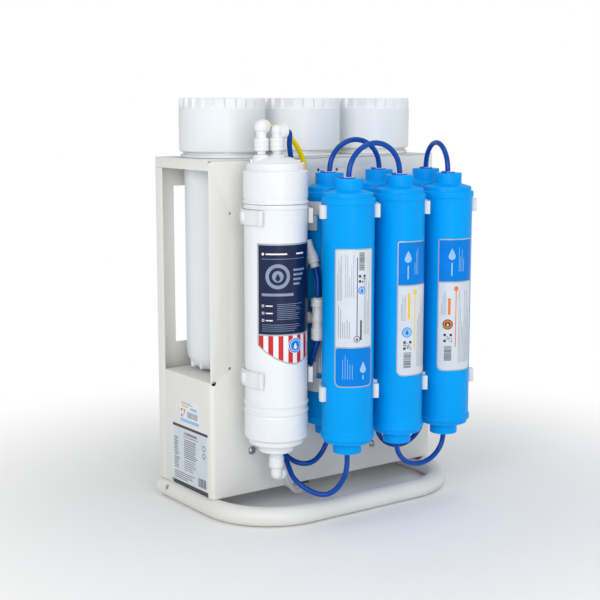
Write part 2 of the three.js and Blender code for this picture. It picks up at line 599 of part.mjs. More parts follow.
function tubes() {
  const blue = 0x1746a8;
  const wall = -5.4;
  const up = (x) => [[x, wall, 150], [x, wall, 200], [x, wall, 230], [x, wall, 251]];
  return [
    loop('tube_front_1_2', frontPort(0, FIL_TOP), frontPort(1, FIL_TOP), 39, blue),
    loop('tube_back_1_2', backPort(0, FIL_TOP), backPort(1, FIL_TOP), 38, blue),
    loop('tube_front_back_3', frontPort(2, FIL_TOP), backPort(2, FIL_TOP), 34.5, blue),
    loop('tube_front_2_3', frontPort(1, FIL_FOOT), frontPort(2, FIL_FOOT), -35.5, blue),
    loop('tube_back_2_3', backPort(1, BACK_FOOT), backPort(2, BACK_FOOT), -36.6, blue),
    tube('tube_permeate', [
      [-103.4, -47.75, 468.15], [-97.4, -47.6, 467.7], [-93.4, -47.5, 467.4], [-90.6, -46.8, 465.2],
      [-89.4, -45.6, 460.5], [-87, -41.4, 452.8], [-81.4, -34.8, 444], [-76.6, -29.6, 436.4],
      [-74.9, -28.2, 430], [-72.6, -27.8, 410], [-70.4, -28.2, 390], [-68.9, -31.5, 373],
      [-67.9, -37.8, 362], [-68.3, -44.5, 352.5], [-68.9, -49.4, 345.6], [-68, -51.5, 338.5],
      [-66.9, -53.5, 331.4],
    ], blue),
    tube('tube_valve_tee', [
      [-64.4, -58, 315.2], [-63.3, -60, 308], [-62.5, -61.6, 301.8], [-62.4, -64.4, 293],
      [-63.3, -66.5, 284], [-64.5, -67.5, 276], [-64.5, -67.5, 268], [-64.5, -67.5, 260],
    ], blue),
    tube('tube_tee_down', [
      [-64.5, -67.5, 232], [-64.5, -67.5, 224], [-64.8, -67.3, 218], [-65.8, -65.8, 210.5],
      [-66.2, -62, 202], [-66.4, -56.2, 191], [-67.2, -49.5, 180], [-67.5, -43, 169], [-67.8, -35.5, 157],
      [-68.6, -27.5, 146], [-70.5, -20, 136], [-72.6, -13.5, 129.5], [-74.6, -8.4, 129],
      [-75.8, -5.8, 138], ...up(-76),
    ], blue),
    tube('tube_front_1_in', [
      [-48, -105, 97], [-48, -105, 88], [-48, -105, 79], [-48.4, -104.9, 69], [-50.6, -104.3, 59],
      [-54.8, -102, 49.5], [-60.2, -98.5, 41.6], [-66.6, -93.5, 36.4], [-72.9, -87.5, 35],
      [-79.5, -80.5, 37], [-85.5, -73, 41.3], [-90.5, -65, 46.6], [-92.4, -56, 52.2], [-89.4, -45, 58],
      [-86.4, -34, 66], [-85.2, -26, 72.5], [-88, -18.5, 82], [-92, -12.5, 94], [-96.5, -8, 110],
      [-98, -6, 128], ...up(-98),
    ], blue),
    tube('tube_back_1_out', [
      [-28.3, -42, 105.5], [-28.3, -42, 97], [-28.8, -42, 90], [-33, -41.8, 80], [-40, -41.3, 69.5],
      [-50, -40.8, 62.2], [-61, -38.5, 60], [-69.9, -32, 61.8], [-74.8, -21.5, 66.3], [-79.5, -11.5, 74.5],
      [-84.5, -7, 90], [-86.8, -5.6, 108], [-87, wall, 128], ...up(-87),
    ], blue),
    tube('tube_tank', [
      [-65.61, -58.51, 245.5], [-66.15, -54.15, 245.5], [-66.7, -49.7, 245.5], [-67.3, -44.7, 245.7],
      [-68.5, -36, 248], [-70.5, -24, 256.5], [-72, -15, 260.2], [-72, -10, 260.5], [-72, -5, 260.5],
    ], blue),
    tube('tube_waste', [
      [-123, -39.11, 472.9], [-118.07, -34.67, 472.7], [-114.4, -31.4, 472.6], [-109, -27.6, 472.4],
      [-101, -24.4, 471.8], [-91, -22.2, 469.8], [-81, -20.4, 466], [-71, -18.6, 460.2], [-61, -16, 452.5],
      [-52.6, -13.4, 443], [-46.8, -12, 433.5], [-44.2, -11.4, 423], [-45, -10.6, 410], [-50, -9.4, 396],
      [-56.5, -8, 380], [-63.5, -6.8, 362], [-70.5, -6, 342], [-81, -5.6, 316],
      [-89, wall, 295], [-91.8, wall, 280], [-92, wall, 270], [-92, wall, 262],
    ], 0xe6cf12),
    tube('tube_feed', [
      [-105.6, -46.15, 56.97], [-100.1, -43.7, 56], [-96.2, -42, 55.2], [-92.8, -40.1, 51],
      [-88.6, -36.8, 44], [-79.5, -30, 34.4], [-68.5, -22.5, 25], [-58.2, -15, 18.6], [-48, -8, 15.4],
      [-40.5, -1.5, 14.7], [-39, 6, 14.7], [-43, 13, 14.9], [-49, 18.5, 16.8], [-54, 21.5, 22.5],
      [-57, 23.5, 30], [-59, 25, 40], [-61.5, 27, 52], [-66, 30, 66], [-72, 36, 90], [-80, 46, 120],
      [-91, 63, 137], [-102, 79, 140], [-109.5, 90, 134], [-112, 95, 123], [-112, 95, 114],
      [-112, 95, 103],
    ], 0xe6e8ea),
  ];
}

// ---- assembly -----------------------------------------------------------------------------------
const group = new THREE.Group();
group.name = 'reverse_osmosis_unit';
group.add(baseRing(), frontPanel(), topPlate(), rearFrame(), pumpCover(), floorPan());
group.add(boosterPump(), powerSupply());
canisterXs().forEach((x, i) => {
  group.add(canisterBody(i + 1, x), canisterCap(i + 1, x), canisterSeal(i + 1, x), canisterCartridge(i + 1, x));
});
group.add(canisterLink(1, CAN_X - CAN_PITCH / 2), canisterLink(2, CAN_X + CAN_PITCH / 2));
group.add(membraneHousing(), membraneCap(), membraneElement());
group.add(elbow('elbow_permeate', [...PERMEATE, 441.2], 468.6, [-97.4, -47.6, 467.7], 4.8, UPPER_STEPS, 9.2));
group.add(elbow('elbow_waste', [...WASTE, 441.2], 473.2, [-118.07, -34.67, 472.7], 4.8, UPPER_STEPS, 8.6, 8.4));
group.add(elbow('elbow_feed', [MEM_X, MEM_Y, 85.2], 58.1, [-100.1, -43.7, 56], 5.8, LOWER_STEPS, 7.6));
group.add(membraneClip('membrane_clip_upper', 361.4, 378.6));
group.add(membraneClip('membrane_clip_lower', 171, 189.5));
for (let i = 0; i < 3; i += 1) {
  group.add(inlineFilter(`filter_front_${i + 1}`, ...frontPort(i, FIL_TOP), frontPort(i, FIL_FOOT)[2]));
  group.add(inlineFilter(`filter_back_${i + 1}`, ...backPort(i, FIL_TOP), backPort(i, BACK_FOOT)[2]));
  group.add(doubleClip(`double_clip_upper_${i + 1}`, i, 368.5, 384.2));
  group.add(doubleClip(`double_clip_lower_${i + 1}`, i, 153.5, 170.5));
}
group.add(rearClipRail('rear_clip_rail_upper', 350, 367.8));
group.add(rearClipRail('rear_clip_rail_lower', 171.5, 190.5));
group.add(checkValve(), teeFitting(), portBlock(), ...tubes());

export default group;
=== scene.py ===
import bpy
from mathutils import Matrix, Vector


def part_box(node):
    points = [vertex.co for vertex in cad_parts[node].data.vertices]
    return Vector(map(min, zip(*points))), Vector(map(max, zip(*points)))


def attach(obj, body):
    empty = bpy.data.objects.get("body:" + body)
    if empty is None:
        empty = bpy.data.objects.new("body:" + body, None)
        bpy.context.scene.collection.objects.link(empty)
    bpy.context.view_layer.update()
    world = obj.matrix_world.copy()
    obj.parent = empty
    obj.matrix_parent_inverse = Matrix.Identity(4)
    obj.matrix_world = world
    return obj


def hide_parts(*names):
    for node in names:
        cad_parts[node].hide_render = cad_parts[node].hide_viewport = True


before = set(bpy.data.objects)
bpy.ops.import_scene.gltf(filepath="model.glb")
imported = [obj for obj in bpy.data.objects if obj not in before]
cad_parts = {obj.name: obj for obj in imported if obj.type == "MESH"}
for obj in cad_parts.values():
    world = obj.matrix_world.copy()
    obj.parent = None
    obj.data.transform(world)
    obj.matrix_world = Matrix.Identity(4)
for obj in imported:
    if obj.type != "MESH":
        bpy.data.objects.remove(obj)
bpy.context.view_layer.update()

from math import atan2, ceil, cos, degrees, pi, radians, sin, sqrt, tan

import bmesh
import bpy
from mathutils import Matrix, Vector, noise

MM = 0.001          # every shape below is worked out in millimetres and scaled once
SHIFT_Y = 5.5       # the panel face sits at this Y
LENS = 77.03
CAMERA_AT = (-0.96255, -1.27532, 0.50335)
CAMERA_ALONG = (0.57673, 0.80234, -0.15388)
scene = bpy.context.scene


def linked(name, data):
    ob = bpy.data.objects.new(name, data)
    scene.collection.objects.link(ob)
    return ob


# ---- camera -----------------------------------------------------------------------------------
def make_camera():
    data = bpy.data.cameras.new("camera")
    data.sensor_width = 36
    data.lens = LENS
    data.clip_start = 0.05
    data.clip_end = 60
    camera = linked("camera", data)
    camera.location = CAMERA_AT
    camera.rotation_mode = "QUATERNION"
    camera.rotation_quaternion = Vector(CAMERA_ALONG).to_track_quat("-Z", "Y")
    scene.camera = camera


make_camera()


# ---- places, from the CAD boxes ---------------------------------------------------------------
def span(node):
    lo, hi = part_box(node)
    return lo / MM, hi / MM


def axis(node):
    lo, hi = span(node)
    return (lo.x + hi.x) / 2, (lo.y + hi.y) / 2


def row(points):
    return [Vector((x, y + SHIFT_Y, z)) for x, y, z in points]


# ---- materials --------------------------------------------------------------------------------
def add_node(tree, kind, **values):
    """A shader node with inputs set by name; an underscore stands for a space."""
    node = tree.nodes.new("ShaderNode" + kind)
    for name, value in values.items():
        node.inputs[name.replace("_", " ")].default_value = value
    return node


def noise_node(tree, place, **values):
    node = add_node(tree, "TexNoise", **values)
    tree.links.new(place, node.inputs["Vector"])
    return node.outputs["Fac"]


def ramp(tree, source, *stops):
    node = add_node(tree, "ValToRGB")
    for element, (at, value) in zip(node.color_ramp.elements, stops):
        element.position = at
        element.color = (*value, 1)
    tree.links.new(source, node.inputs["Fac"])
    return node.outputs["Color"]


def over(tree, factor, paint, color):
    """The paint, going over to one colour by the factor."""
    node = add_node(tree, "Mix")
    node.data_type = "RGBA"
    tree.links.new(factor, node.inputs["Factor"])
    tree.links.new(paint, node.inputs[6])
    node.inputs[7].default_value = (*color, 1)
    return node.outputs[2]


def tint(color, factor):
    return tuple(min(1.0, c * factor) for c in color)


def surface(name, color, rough=0.4, grain=900.0, depth=0.00004, mottle=14.0, vary=0.05, spread=0.08,
            metallic=0.0, coat=0.0, edge_highlight=None, edge_highlight_mix=0.5, edge=0.0007, streak=None, sheen=0.0,
            specular=0.5, tarnish=None):
    """A material with slow colour mottling, fine grain in bump and gloss, and edges lightened as a
    painted highlight mixed with rubbed wear.
    """
    material = bpy.data.materials.new(name)
    material.use_nodes = True
    tree = material.node_tree
    link = tree.links.new
    shader = tree.nodes["Principled BSDF"]
    shader.inputs["Metallic"].default_value = metallic
    shader.inputs["Coat Weight"].default_value = coat
    shader.inputs["Coat Roughness"].default_value = 0.12
    shader.inputs["Sheen Weight"].default_value = sheen
    shader.inputs["Specular IOR Level"].default_value = specular
    place = add_node(tree, "TexCoord").outputs["Object"]
    slow = noise_node(tree, place, Scale=mottle, Detail=5, Roughness=0.6)
    along = place
    if streak:
        stretch = add_node(tree, "Mapping", Scale=streak)
        link(place, stretch.inputs["Vector"])
        along = stretch.outputs["Vector"]
    fine = noise_node(tree, along, Scale=grain, Detail=3)
    paint = ramp(tree, slow, (0.3, tint(color, 1 - vary)), (0.7, tint(color, 1 + vary)))
    if tarnish:
        patch = noise_node(tree, place, Scale=TARNISH_SCALE, Detail=6)
        amount = ramp(tree, patch, (0.45, (0, 0, 0)), (0.75, (TARNISH_MIX,) * 3))
        paint = over(tree, amount, paint, tarnish)
    # Painted highlight: the bevel mask lightens every edge towards the paler colour, standing in for
    # light caught on the rims, with some rubbed wear.
    if edge_highlight:
        bevel = add_node(tree, "Bevel", Radius=edge)
        bevel.samples = 4
        turn = add_node(tree, "VectorMath")
        turn.operation = "DOT_PRODUCT"
        link(bevel.outputs["Normal"], turn.inputs[0])
        link(add_node(tree, "NewGeometry").outputs["Normal"], turn.inputs[1])
        highlight_edges = ramp(tree, turn.outputs["Value"], (0.86, (edge_highlight_mix,) * 3), (0.985, (0, 0, 0)))
        highlight_amount = add_node(tree, "Math")
        highlight_amount.operation = "MULTIPLY"
        link(highlight_edges, highlight_amount.inputs[0])
        link(slow, highlight_amount.inputs[1])
        paint = over(tree, highlight_amount.outputs["Value"], paint, edge_highlight)
    link(paint, shader.inputs["Base Color"])
    low, high = max(0.02, rough - spread), min(1.0, rough + spread)
    gloss = add_node(tree, "MapRange", To_Min=low, To_Max=high)
    link(slow, gloss.inputs["Value"])
    link(gloss.outputs["Result"], shader.inputs["Roughness"])
    bump = add_node(tree, "Bump", Strength=1.0, Distance=depth)
    link(fine, bump.inputs["Height"])
    link(bump.outputs["Normal"], shader.inputs["Normal"])
    return material


TARNISH_SCALE = 420
TARNISH_MIX = 0.7
ALONG_TUBE = (1, 1, 0.2)
# The lighter edge colours given below are painted highlights along edges, with some rubbed wear.
POWDER = surface("powder_coat", (0.74, 0.74, 0.715), 0.42, 620, 0.00009, 9, 0.025, 0.07,
                 edge_highlight=(0.90, 0.90, 0.88), edge_highlight_mix=0.7, edge=0.0012)
PAN = surface("pan_metal", (0.62, 0.63, 0.63), 0.42, 700, 0.00003, 20, 0.07, 0.1, metallic=0.7,
              edge_highlight=(0.8, 0.8, 0.8))
CAP_WHITE = surface("cap_moulding", (0.735, 0.765, 0.79), 0.36, 1100, 0.00003, 12, 0.02, 0.06,
                    edge_highlight=(0.9, 0.92, 0.94), edge_highlight_mix=0.6, edge=0.0008)
CUP_WHITE = surface("cup_moulding", (0.74, 0.765, 0.785), 0.3, 900, 0.00002, 10, 0.02, 0.06,
                    edge_highlight=(0.9, 0.92, 0.94))
HOUSING = surface("housing_moulding", (0.76, 0.785, 0.81), 0.28, 900, 0.000015, 12, 0.02, 0.06,
                  coat=0.15, edge_highlight=(0.92, 0.94, 0.96))
FITTING = surface("fitting_moulding", (0.76, 0.77, 0.785), 0.32, 1400, 0.000015, 30, 0.03, 0.08,
                  edge_highlight=(0.93, 0.93, 0.94), edge=0.0004)
CLIP = surface("clip_moulding", (0.74, 0.755, 0.765), 0.38, 1300, 0.00002, 25, 0.03, 0.08,
               edge_highlight=(0.92, 0.93, 0.94), edge_highlight_mix=0.6, edge=0.0005)
BLUE = surface("filter_moulding", (0.0, 0.325, 0.83), 0.3, 800, 0.000018, 14, 0.05, 0.07, specular=0.07,
               edge_highlight=(0.03, 0.50, 0.98), edge_highlight_mix=0.9, edge=0.0009)
TUBE_BLUE = surface("tube_blue", (0.001, 0.06, 0.34), 0.2, 500, 0.00001, 60, 0.12, 0.07,
                    specular=0.22, streak=ALONG_TUBE)
TUBE_YELLOW = surface("tube_yellow", (0.98, 0.72, 0.0), 0.3, 500, 0.00001, 60, 0.05, 0.07,
                      specular=0.15, streak=ALONG_TUBE)
TUBE_CLEAR = surface("tube_natural", (0.70, 0.72, 0.74), 0.25, 500, 0.00001, 60, 0.05, 0.07,
                     coat=0.3, streak=ALONG_TUBE)
RUBBER = surface("seal_rubber", (0.02, 0.02, 0.022), 0.6, 900, 0.00003, 40, 0.2, 0.1)
FIBRE = surface("melt_blown_fibre", (0.80, 0.77, 0.68), 0.85, 420, 0.0006, 30, 0.05, 0.05, sheen=0.3,
                streak=(0.4, 0.4, 2.6))
WRAP = surface("element_wrap", (0.55, 0.60, 0.66), 0.5, 300, 0.0002, 26, 0.06, 0.1,
               streak=(0.2, 0.2, 3))
PUMP = surface("pump_shell", (0.045, 0.048, 0.052), 0.5, 700, 0.00008, 30, 0.15, 0.1,
               edge_highlight=(0.2, 0.2, 0.2), edge_highlight_mix=0.6)
SUPPLY = surface("supply_shell", (0.022, 0.023, 0.026), 0.55, 800, 0.00012, 30, 0.15, 0.1,
                 edge_highlight=(0.12, 0.12, 0.12), edge_highlight_mix=0.6)
ZINC = surface("zinc_screw", (0.55, 0.55, 0.56), 0.28, 1500, 0.00002, 220, 0.2, 0.12, metallic=1.0,
               tarnish=(0.12, 0.11, 0.10))
# Near-black: the real colour of the base ring's end caps, and painted shadow on the pads under the
# panel's bottom edge.
BLACK_AND_SHADE = surface("black_cap_and_gap_shadow", (0.03, 0.028, 0.026), 0.7, 700, 0.00004, 60, 0.2, 0.1)
PORT_WHITE = surface("collet_white", (0.80, 0.80, 0.80), 0.35, 1400, 0.00001, 60, 0.03, 0.06)
LOCK_BLUE = surface("lock_clip_blue", (0.01, 0.12, 0.62), 0.33, 1200, 0.00001, 60, 0.08, 0.06)


def film(name, color, rough=0.35, metallic=0.0, vary=0.03, specular=0.4):
    return surface(name, color, rough, 1800, 0.000006, 45, vary, 0.06, metallic, specular=specular)


SILVER = film("film_silver", (0.42, 0.44, 0.47), 0.3, 0.35, 0.12)
FOIL = film("film_foil", (0.60, 0.655, 0.72), 0.34, 0.0, 0.04)
PAPER = film("film_white", (0.78, 0.79, 0.80), 0.4)
NAVY = film("film_navy", (0.004, 0.012, 0.055), 0.3, 0.0, 0.12, 0.3)
SKY = film("film_sky", (0.0, 0.20, 0.68), 0.34, 0.0, 0.05, 0.08)
INK = film("film_ink", (0.035, 0.036, 0.045), 0.4, 0.0, 0.1)
MID = film("film_grey", (0.22, 0.23, 0.26), 0.4, 0.0, 0.08)
PALE = film("film_pale_blue", (0.28, 0.50, 0.80), 0.35, 0.0, 0.08)
STEEL = film("film_steel_blue", (0.24, 0.31, 0.42), 0.3, 0.2, 0.15)
RED = film("film_red", (0.55, 0.012, 0.02), 0.35)
YELLOW = film("film_yellow", (0.80, 0.52, 0.02), 0.35)
ORANGE = film("film_orange", (0.75, 0.18, 0.02), 0.35)


# ---- mesh building ----------------------------------------------------------------------------
def mesh_from(name, bm):
    mesh = bpy.data.meshes.new(name)
    bm.to_mesh(mesh)
    bm.free()
    return mesh


def piece_from(name, bm, materials, replaced=(), slot=None, angle=32, body="frame"):
    """One finished piece from a mesh in millimetres, riding its body."""
    bmesh.ops.recalc_face_normals(bm, faces=bm.faces[:])
    mesh = mesh_from(name, bm)
    mesh.transform(Matrix.Scale(MM, 4))
    for material in materials:
        mesh.materials.append(material)
    mesh.polygons.foreach_set("use_smooth", [True] * len(mesh.polygons))
    mesh.set_sharp_from_angle(angle=radians(angle))
    mesh.update()
    piece = linked(name, mesh)
    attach(piece, body)
    if replaced:
        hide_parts(*replaced)


LEAST_CORNER = 12    # degrees; a flatter bend stays as it is
SMOOTHINGS = 6
PATH_STEP = 2.2


def soften(profile, radius=0.5, steps=3, closed=False):
    """Rounds the corners of an (r, z) line, leaving its two ends where they are."""
    out = []
    count = len(profile)
    for i, point in enumerate(profile):
        p = Vector(point)
        if not closed and i in (0, count - 1):
            out.append((p.x, p.y))
            continue
        a = Vector(profile[i - 1]) - p
        b = Vector(profile[(i + 1) % count]) - p
        if a.length < 1e-6 or b.length < 1e-6:
            continue
        bend = pi - a.angle(b)
        if degrees(bend) < LEAST_CORNER:
            out.append((p.x, p.y))
            continue
        wanted = radius * tan(bend / 2) if bend < 2.9 else radius
        reach = min(wanted, a.length * 0.42, b.length * 0.42)
        start = p + a.normalized() * reach
        end = p + b.normalized() * reach
        for k in range(steps + 1):
            t = k / steps
            q = start * (1 - t) ** 2 + p * 2 * t * (1 - t) + end * t ** 2
            out.append((q.x, q.y))
    return out


def spin(bm, profile, centre=(0, 0), segments=64, turn=None, shape=None, closed=False, material=0):
    """Lathe about Z through centre; turn is applied after; shape(r, z, angle) gives a new r."""
    rings = []
    for r, z in profile:
        ring = []
        for k in range(segments if r > 0 else 1):
            angle = 2 * pi * k / segments
            reach = shape(r, z, angle) if shape else r
            at = (centre[0] + reach * cos(angle), centre[1] + reach * sin(angle), z)
            ring.append(bm.verts.new(at))
        rings.append(ring)
    pairs = list(zip(rings, rings[1:]))
    if closed:
        pairs.append((rings[-1], rings[0]))
    for a, b in pairs:
        for k in range(segments):
            n = (k + 1) % segments
            corners = (a[k % len(a)], b[k % len(b)], b[n % len(b)], a[n % len(a)])
            bm.faces.new(list(dict.fromkeys(corners))).material_index = material
    if turn:
        bmesh.ops.transform(bm, matrix=turn, verts=[v for ring in rings for v in ring])


def lathe(profile, *args, **options):
    """A new mesh with that profile spun in it."""
    bm = bmesh.new()
    spin(bm, profile, *args, **options)
    return bm


def ball(at, r, steps, segments):
    turns = [pi * (k / steps - 0.5) for k in range(steps + 1)]
    arc = [(r * cos(t), r * sin(t)) for t in turns]
    arc[0], arc[-1] = (0, -r), (0, r)
    return lathe(arc, segments=segments, turn=Matrix.Translation(at))


def aim(origin, direction):
    """Matrix taking +Z at the origin to that direction at that point."""
    turn = Vector(direction).to_track_quat("Z", "Y").to_matrix().to_4x4()
    return Matrix.Translation(Vector(origin)) @ turn


def about(x, y, angle=0.0):
    """Matrix turning by angle about Z and then moving to (x, y)."""
    return Matrix.Translation((x, y, 0)) @ Matrix.Rotation(angle, 4, "Z")


def catmull(points):
    """Centripetal Catmull-Rom through the points, smoothed and resampled evenly."""
    pts = [Vector(p) for p in points]
    pts = [pts[0] * 2 - pts[1]] + pts + [pts[-1] * 2 - pts[-2]]
    dense = []
    for p0, p1, p2, p3 in zip(pts, pts[1:], pts[2:], pts[3:]):
        t0 = 0.0
        t1 = t0 + max(1e-4, (p1 - p0).length ** 0.5)
        t2 = t1 + max(1e-4, (p2 - p1).length ** 0.5)
        t3 = t2 + max(1e-4, (p3 - p2).length ** 0.5)
        for k in range(16):
            t = t1 + (t2 - t1) * k / 16

            def between(a, b, ta, tb):
                return a * ((tb - t) / (tb - ta)) + b * ((t - ta) / (tb - ta))
            a2 = between(p1, p2, t1, t2)
            b1 = between(between(p0, p1, t0, t1), a2, t0, t2)
            b2 = between(a2, between(p2, p3, t2, t3), t1, t3)
            dense.append(between(b1, b2, t1, t2))
    dense.append(pts[-2])
    for _ in range(SMOOTHINGS):
        inner = [(a + b * 2 + c) / 4 for a, b, c in zip(dense, dense[1:], dense[2:])]
        dense = [dense[0], *inner, dense[-1]]
    total = sum((b - a).length for a, b in zip(dense, dense[1:]))
    count = max(4, round(total / PATH_STEP))
    out = [dense[0]]
    walked = 0.0
    target = total / count
    for a, b in zip(dense, dense[1:]):
        length = (b - a).length
        while length > 1e-9 and walked + length >= target * len(out) and len(out) < count:
            out.append(a.lerp(b, (target * len(out) - walked) / length))
        walked += length
    out.append(dense[-1])
    return out


def sweep(bm, path, radius, sides):
    """Round solid along a path, its rings carried parallel."""
    last = len(path) - 1
    tangents = [(path[min(i + 1, last)] - path[max(i - 1, 0)]).normalized() for i in range(last + 1)]
    side = tangents[0].orthogonal().normalized()
    rings = []
    for i, (p, t) in enumerate(zip(path, tangents)):
        if i:
            side = (tangents[i - 1].rotation_difference(t) @ side).normalized()
        side = (side - t * side.dot(t)).normalized()
        other = t.cross(side)
        rings.append([bm.verts.new(p + (side * cos(2 * pi * k / sides)
                                        + other * sin(2 * pi * k / sides)) * radius)
                      for k in range(sides)])
    for a, b in zip(rings, rings[1:]):
        for k in range(sides):
            n = (k + 1) % sides
            bm.faces.new((a[k], a[n], b[n], b[k]))
    bm.faces.new(rings[0][::-1])
    bm.faces.new(rings[-1])


def prism(bm, outline, z0, z1, bevel=0.5, material=0):
    """Upright slab from an XY outline with softened edges."""
    own = bmesh.new()
    low = [own.verts.new((x, y, z0)) for x, y in outline]
    high = [own.verts.new((x, y, z1)) for x, y in outline]
    own.faces.new(low[::-1])
    own.faces.new(high)
    count = len(outline)
    for k in range(count):
        n = (k + 1) % count
        own.faces.new((low[k], low[n], high[n], high[k]))
    bmesh.ops.recalc_face_normals(own, faces=own.faces[:])
    round_edges(own, bevel)
    merge_into(bm, own, material)


def round_edges(bm, width, sharp=32):
    if width <= 0:
        return
    edges = [e for e in bm.edges
             if len(e.link_faces) == 2 and e.calc_face_angle(0) > radians(sharp)]
    bmesh.ops.bevel(bm, geom=edges, offset=width, segments=2, profile=0.6, affect="EDGES",
                    clamp_overlap=False)


def merge_into(bm, other, material=0, matrix=None):
    if matrix:
        other.transform(matrix)
    for face in other.faces:
        face.material_index = material
    temp = mesh_from("temp", other)
    bm.from_mesh(temp)
    bpy.data.meshes.remove(temp)


def block(outline, z0, z1, bevel, matrix):
    """A slab of its own, moved by the matrix."""
    bm = bmesh.new()
    prism(bm, outline, z0, z1, bevel)
    bm.transform(matrix)
    return bm


def cuboid(bm, x0, x1, y0, y1, z0, z1, bevel=0.5, material=0):
    prism(bm, [(x0, y0), (x1, y0), (x1, y1), (x0, y1)], z0, z1, bevel, material)


def boolean(base, others, operation="UNION"):
    """Exact boolean of bmeshes, given back as one bmesh."""

    def temp(bm, label):
        bmesh.ops.recalc_face_normals(bm, faces=bm.faces[:])
        return linked(label, mesh_from(label, bm))

    first = temp(base, "temp_base")
    rest = [temp(bm, "temp_part") for bm in others]
    for ob in rest:
        modifier = first.modifiers.new("join", "BOOLEAN")
        modifier.operation = operation
        modifier.solver = "EXACT"
        modifier.object = ob
    evaluated = first.evaluated_get(bpy.context.evaluated_depsgraph_get())
    mesh = bpy.data.meshes.new_from_object(evaluated)
    out = bmesh.new()
    out.from_mesh(mesh)
    for ob in [first, *rest]:
        data = ob.data
        bpy.data.objects.remove(ob)
        bpy.data.meshes.remove(data)
    bpy.data.meshes.remove(mesh)
    return out


def carried(node, material):
    """A CAD node whose shape is right keeps it and takes a full material."""
    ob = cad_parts[node]
    ob.data.materials.clear()
    ob.data.materials.append(material)


def refined(node, material, slot, bevel, angle=32):
    """The CAD node's own sheet or moulding with clean faces and small edge radii."""
    bm = bmesh.new()
    bm.from_mesh(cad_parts[node].data)
    bm.transform(Matrix.Scale(1 / MM, 4))
    bmesh.ops.remove_doubles(bm, verts=bm.verts[:], dist=0.002)
    bmesh.ops.recalc_face_normals(bm, faces=bm.faces[:])
    bmesh.ops.dissolve_limit(bm, angle_limit=radians(0.6), verts=bm.verts[:], edges=bm.edges[:],
                             use_dissolve_boundaries=False)
    round_edges(bm, bevel)
    bmesh.ops.triangulate(bm, faces=[f for f in bm.faces if len(f.verts) > 4])
    piece_from(node + "_shape", bm, [material], [node], slot, angle)


# ---- frame ------------------------------------------------------------------------------------
RING_BEND = 84.3


def base_ring():
    lo, hi = span("base_ring")
    radius = (hi.z - lo.z) / 2
    half, front, back = hi.x - radius, lo.y + radius, hi.y

    def corner(x, first):
        turns = [first + pi / 2 * k / 40 for k in range(41)]
        return [Vector((x + RING_BEND * cos(a), front + RING_BEND + RING_BEND * sin(a), radius))
                for a in turns]
    leg = [back - t * 4 for t in range(int((back - front - RING_BEND) / 4))]
    run = 2 * (half - RING_BEND)
    path = [Vector((-half, y, radius)) for y in leg] + corner(-half + RING_BEND, pi)
    path += [Vector((-half + RING_BEND + run * k / 30, front, radius)) for k in range(1, 30)]
    path += corner(half - RING_BEND, pi * 1.5) + [Vector((half, y, radius)) for y in reversed(leg)]
    bm = bmesh.new()
    sweep(bm, path, radius, 40)
    round_edges(bm, 0.8, 60)
    piece_from("base_ring_tube", bm, [POWDER], ["base_ring"], "frame_white", 40)
    plugs = bmesh.new()
    profile = [
        (0, 0.9), (radius - 5, 0.9), (radius - 3.2, 0.35), (radius - 2.2, 0.05), (radius - 2.2, -2),
        (0, -2)]
    for x in (-half, half):
        spin(plugs, soften(profile, 0.4), segments=40, turn=aim((x, back - 0.6, radius), (0, 1, 0)))
    piece_from("base_ring_plugs", plugs, [BLACK_AND_SHADE], (), "seal_rubber")
    return radius, half


def screw(bm, at, normal, head=4.0, height=2.0):
    """Pan-head screw with a cross recess."""
    dome = [(0, height)]
    for k in range(1, 7):
        angle = pi / 2 * k / 6
        dome.append((head * sin(angle), 0.5 + (height - 0.5) * cos(angle)))
    dome += [(head, 0.0), (0, 0.0)]
    body = lathe(dome, segments=32)
    slots = []
    for turn in (0.35, 0.35 + pi / 2):
        slot = bmesh.new()
        cuboid(slot, -head * 0.56, head * 0.56, -0.42, 0.42, height - 1.1, height + 1, 0)
        slot.transform(Matrix.Rotation(turn, 4, "Z"))
        slots.append(slot)
    cut = boolean(body, slots, "DIFFERENCE")
    washer = bmesh.new()
    ring = [(head * 0.6, -0.02), (head * 1.25, -0.02), (head * 1.25, 0.5), (head * 0.6, 0.5)]
    spin(washer, soften(ring, 0.15, 2, True), segments=32, closed=True)
    merge_into(cut, washer)
    merge_into(bm, cut, 0, aim(at, normal))


def frame_pieces():
    radius, half = base_ring()
    for node in ("front_panel", "top_plate", "rear_frame", "pump_cover"):
        refined(node, POWDER, "frame_white", 0.3)
    refined("floor_pan", PAN, "pan_steel", 0.25)
    lo, hi = span("front_panel")
    bm = bmesh.new()
    face = SHIFT_Y
    for x, z in ((-114.7, 77), (75.2, 56)):
        screw(bm, (x, face, z), (0, -1, 0), 4.4, 2.6)
    screw(bm, (-half - radius * 0.9, 106.0, radius * 1.38), (-1, 0, 0.42), 2.6, 1.2)
    screw(bm, (lo.x, 99.0, 27.8), (-1, 0, 0), 2.0, 0.9)
    screw(bm, (hi.x, 99.0, 27.8), (1, 0, 0), 2.0, 0.9)
    for x in (-150, 150):
        for z in (60, 150, 415):
            screw(bm, (x, span("rear_frame")[1].y, z), (0, 1, 0), 2.9, 1.6)
    piece_from("frame_screws", bm, [ZINC], (), "pan_steel", 40)
    # Painted shadow: two small near-black blocks fill the gap between the panel's bottom edge and the
    # base ring, standing in for the shade there.
    gap_shadow_pads = bmesh.new()
    for x in (-32.4, 159.5):
        cuboid(gap_shadow_pads, x - 5, x + 5, face + 0.3, face + 9, lo.z - 3.0, lo.z + 0.4, 0.5)
    piece_from("panel_gap_shadow_pads", gap_shadow_pads, [BLACK_AND_SHADE], (), "seal_rubber")


frame_pieces()


# ---- canisters --------------------------------------------------------------------------------
TEETH = 24


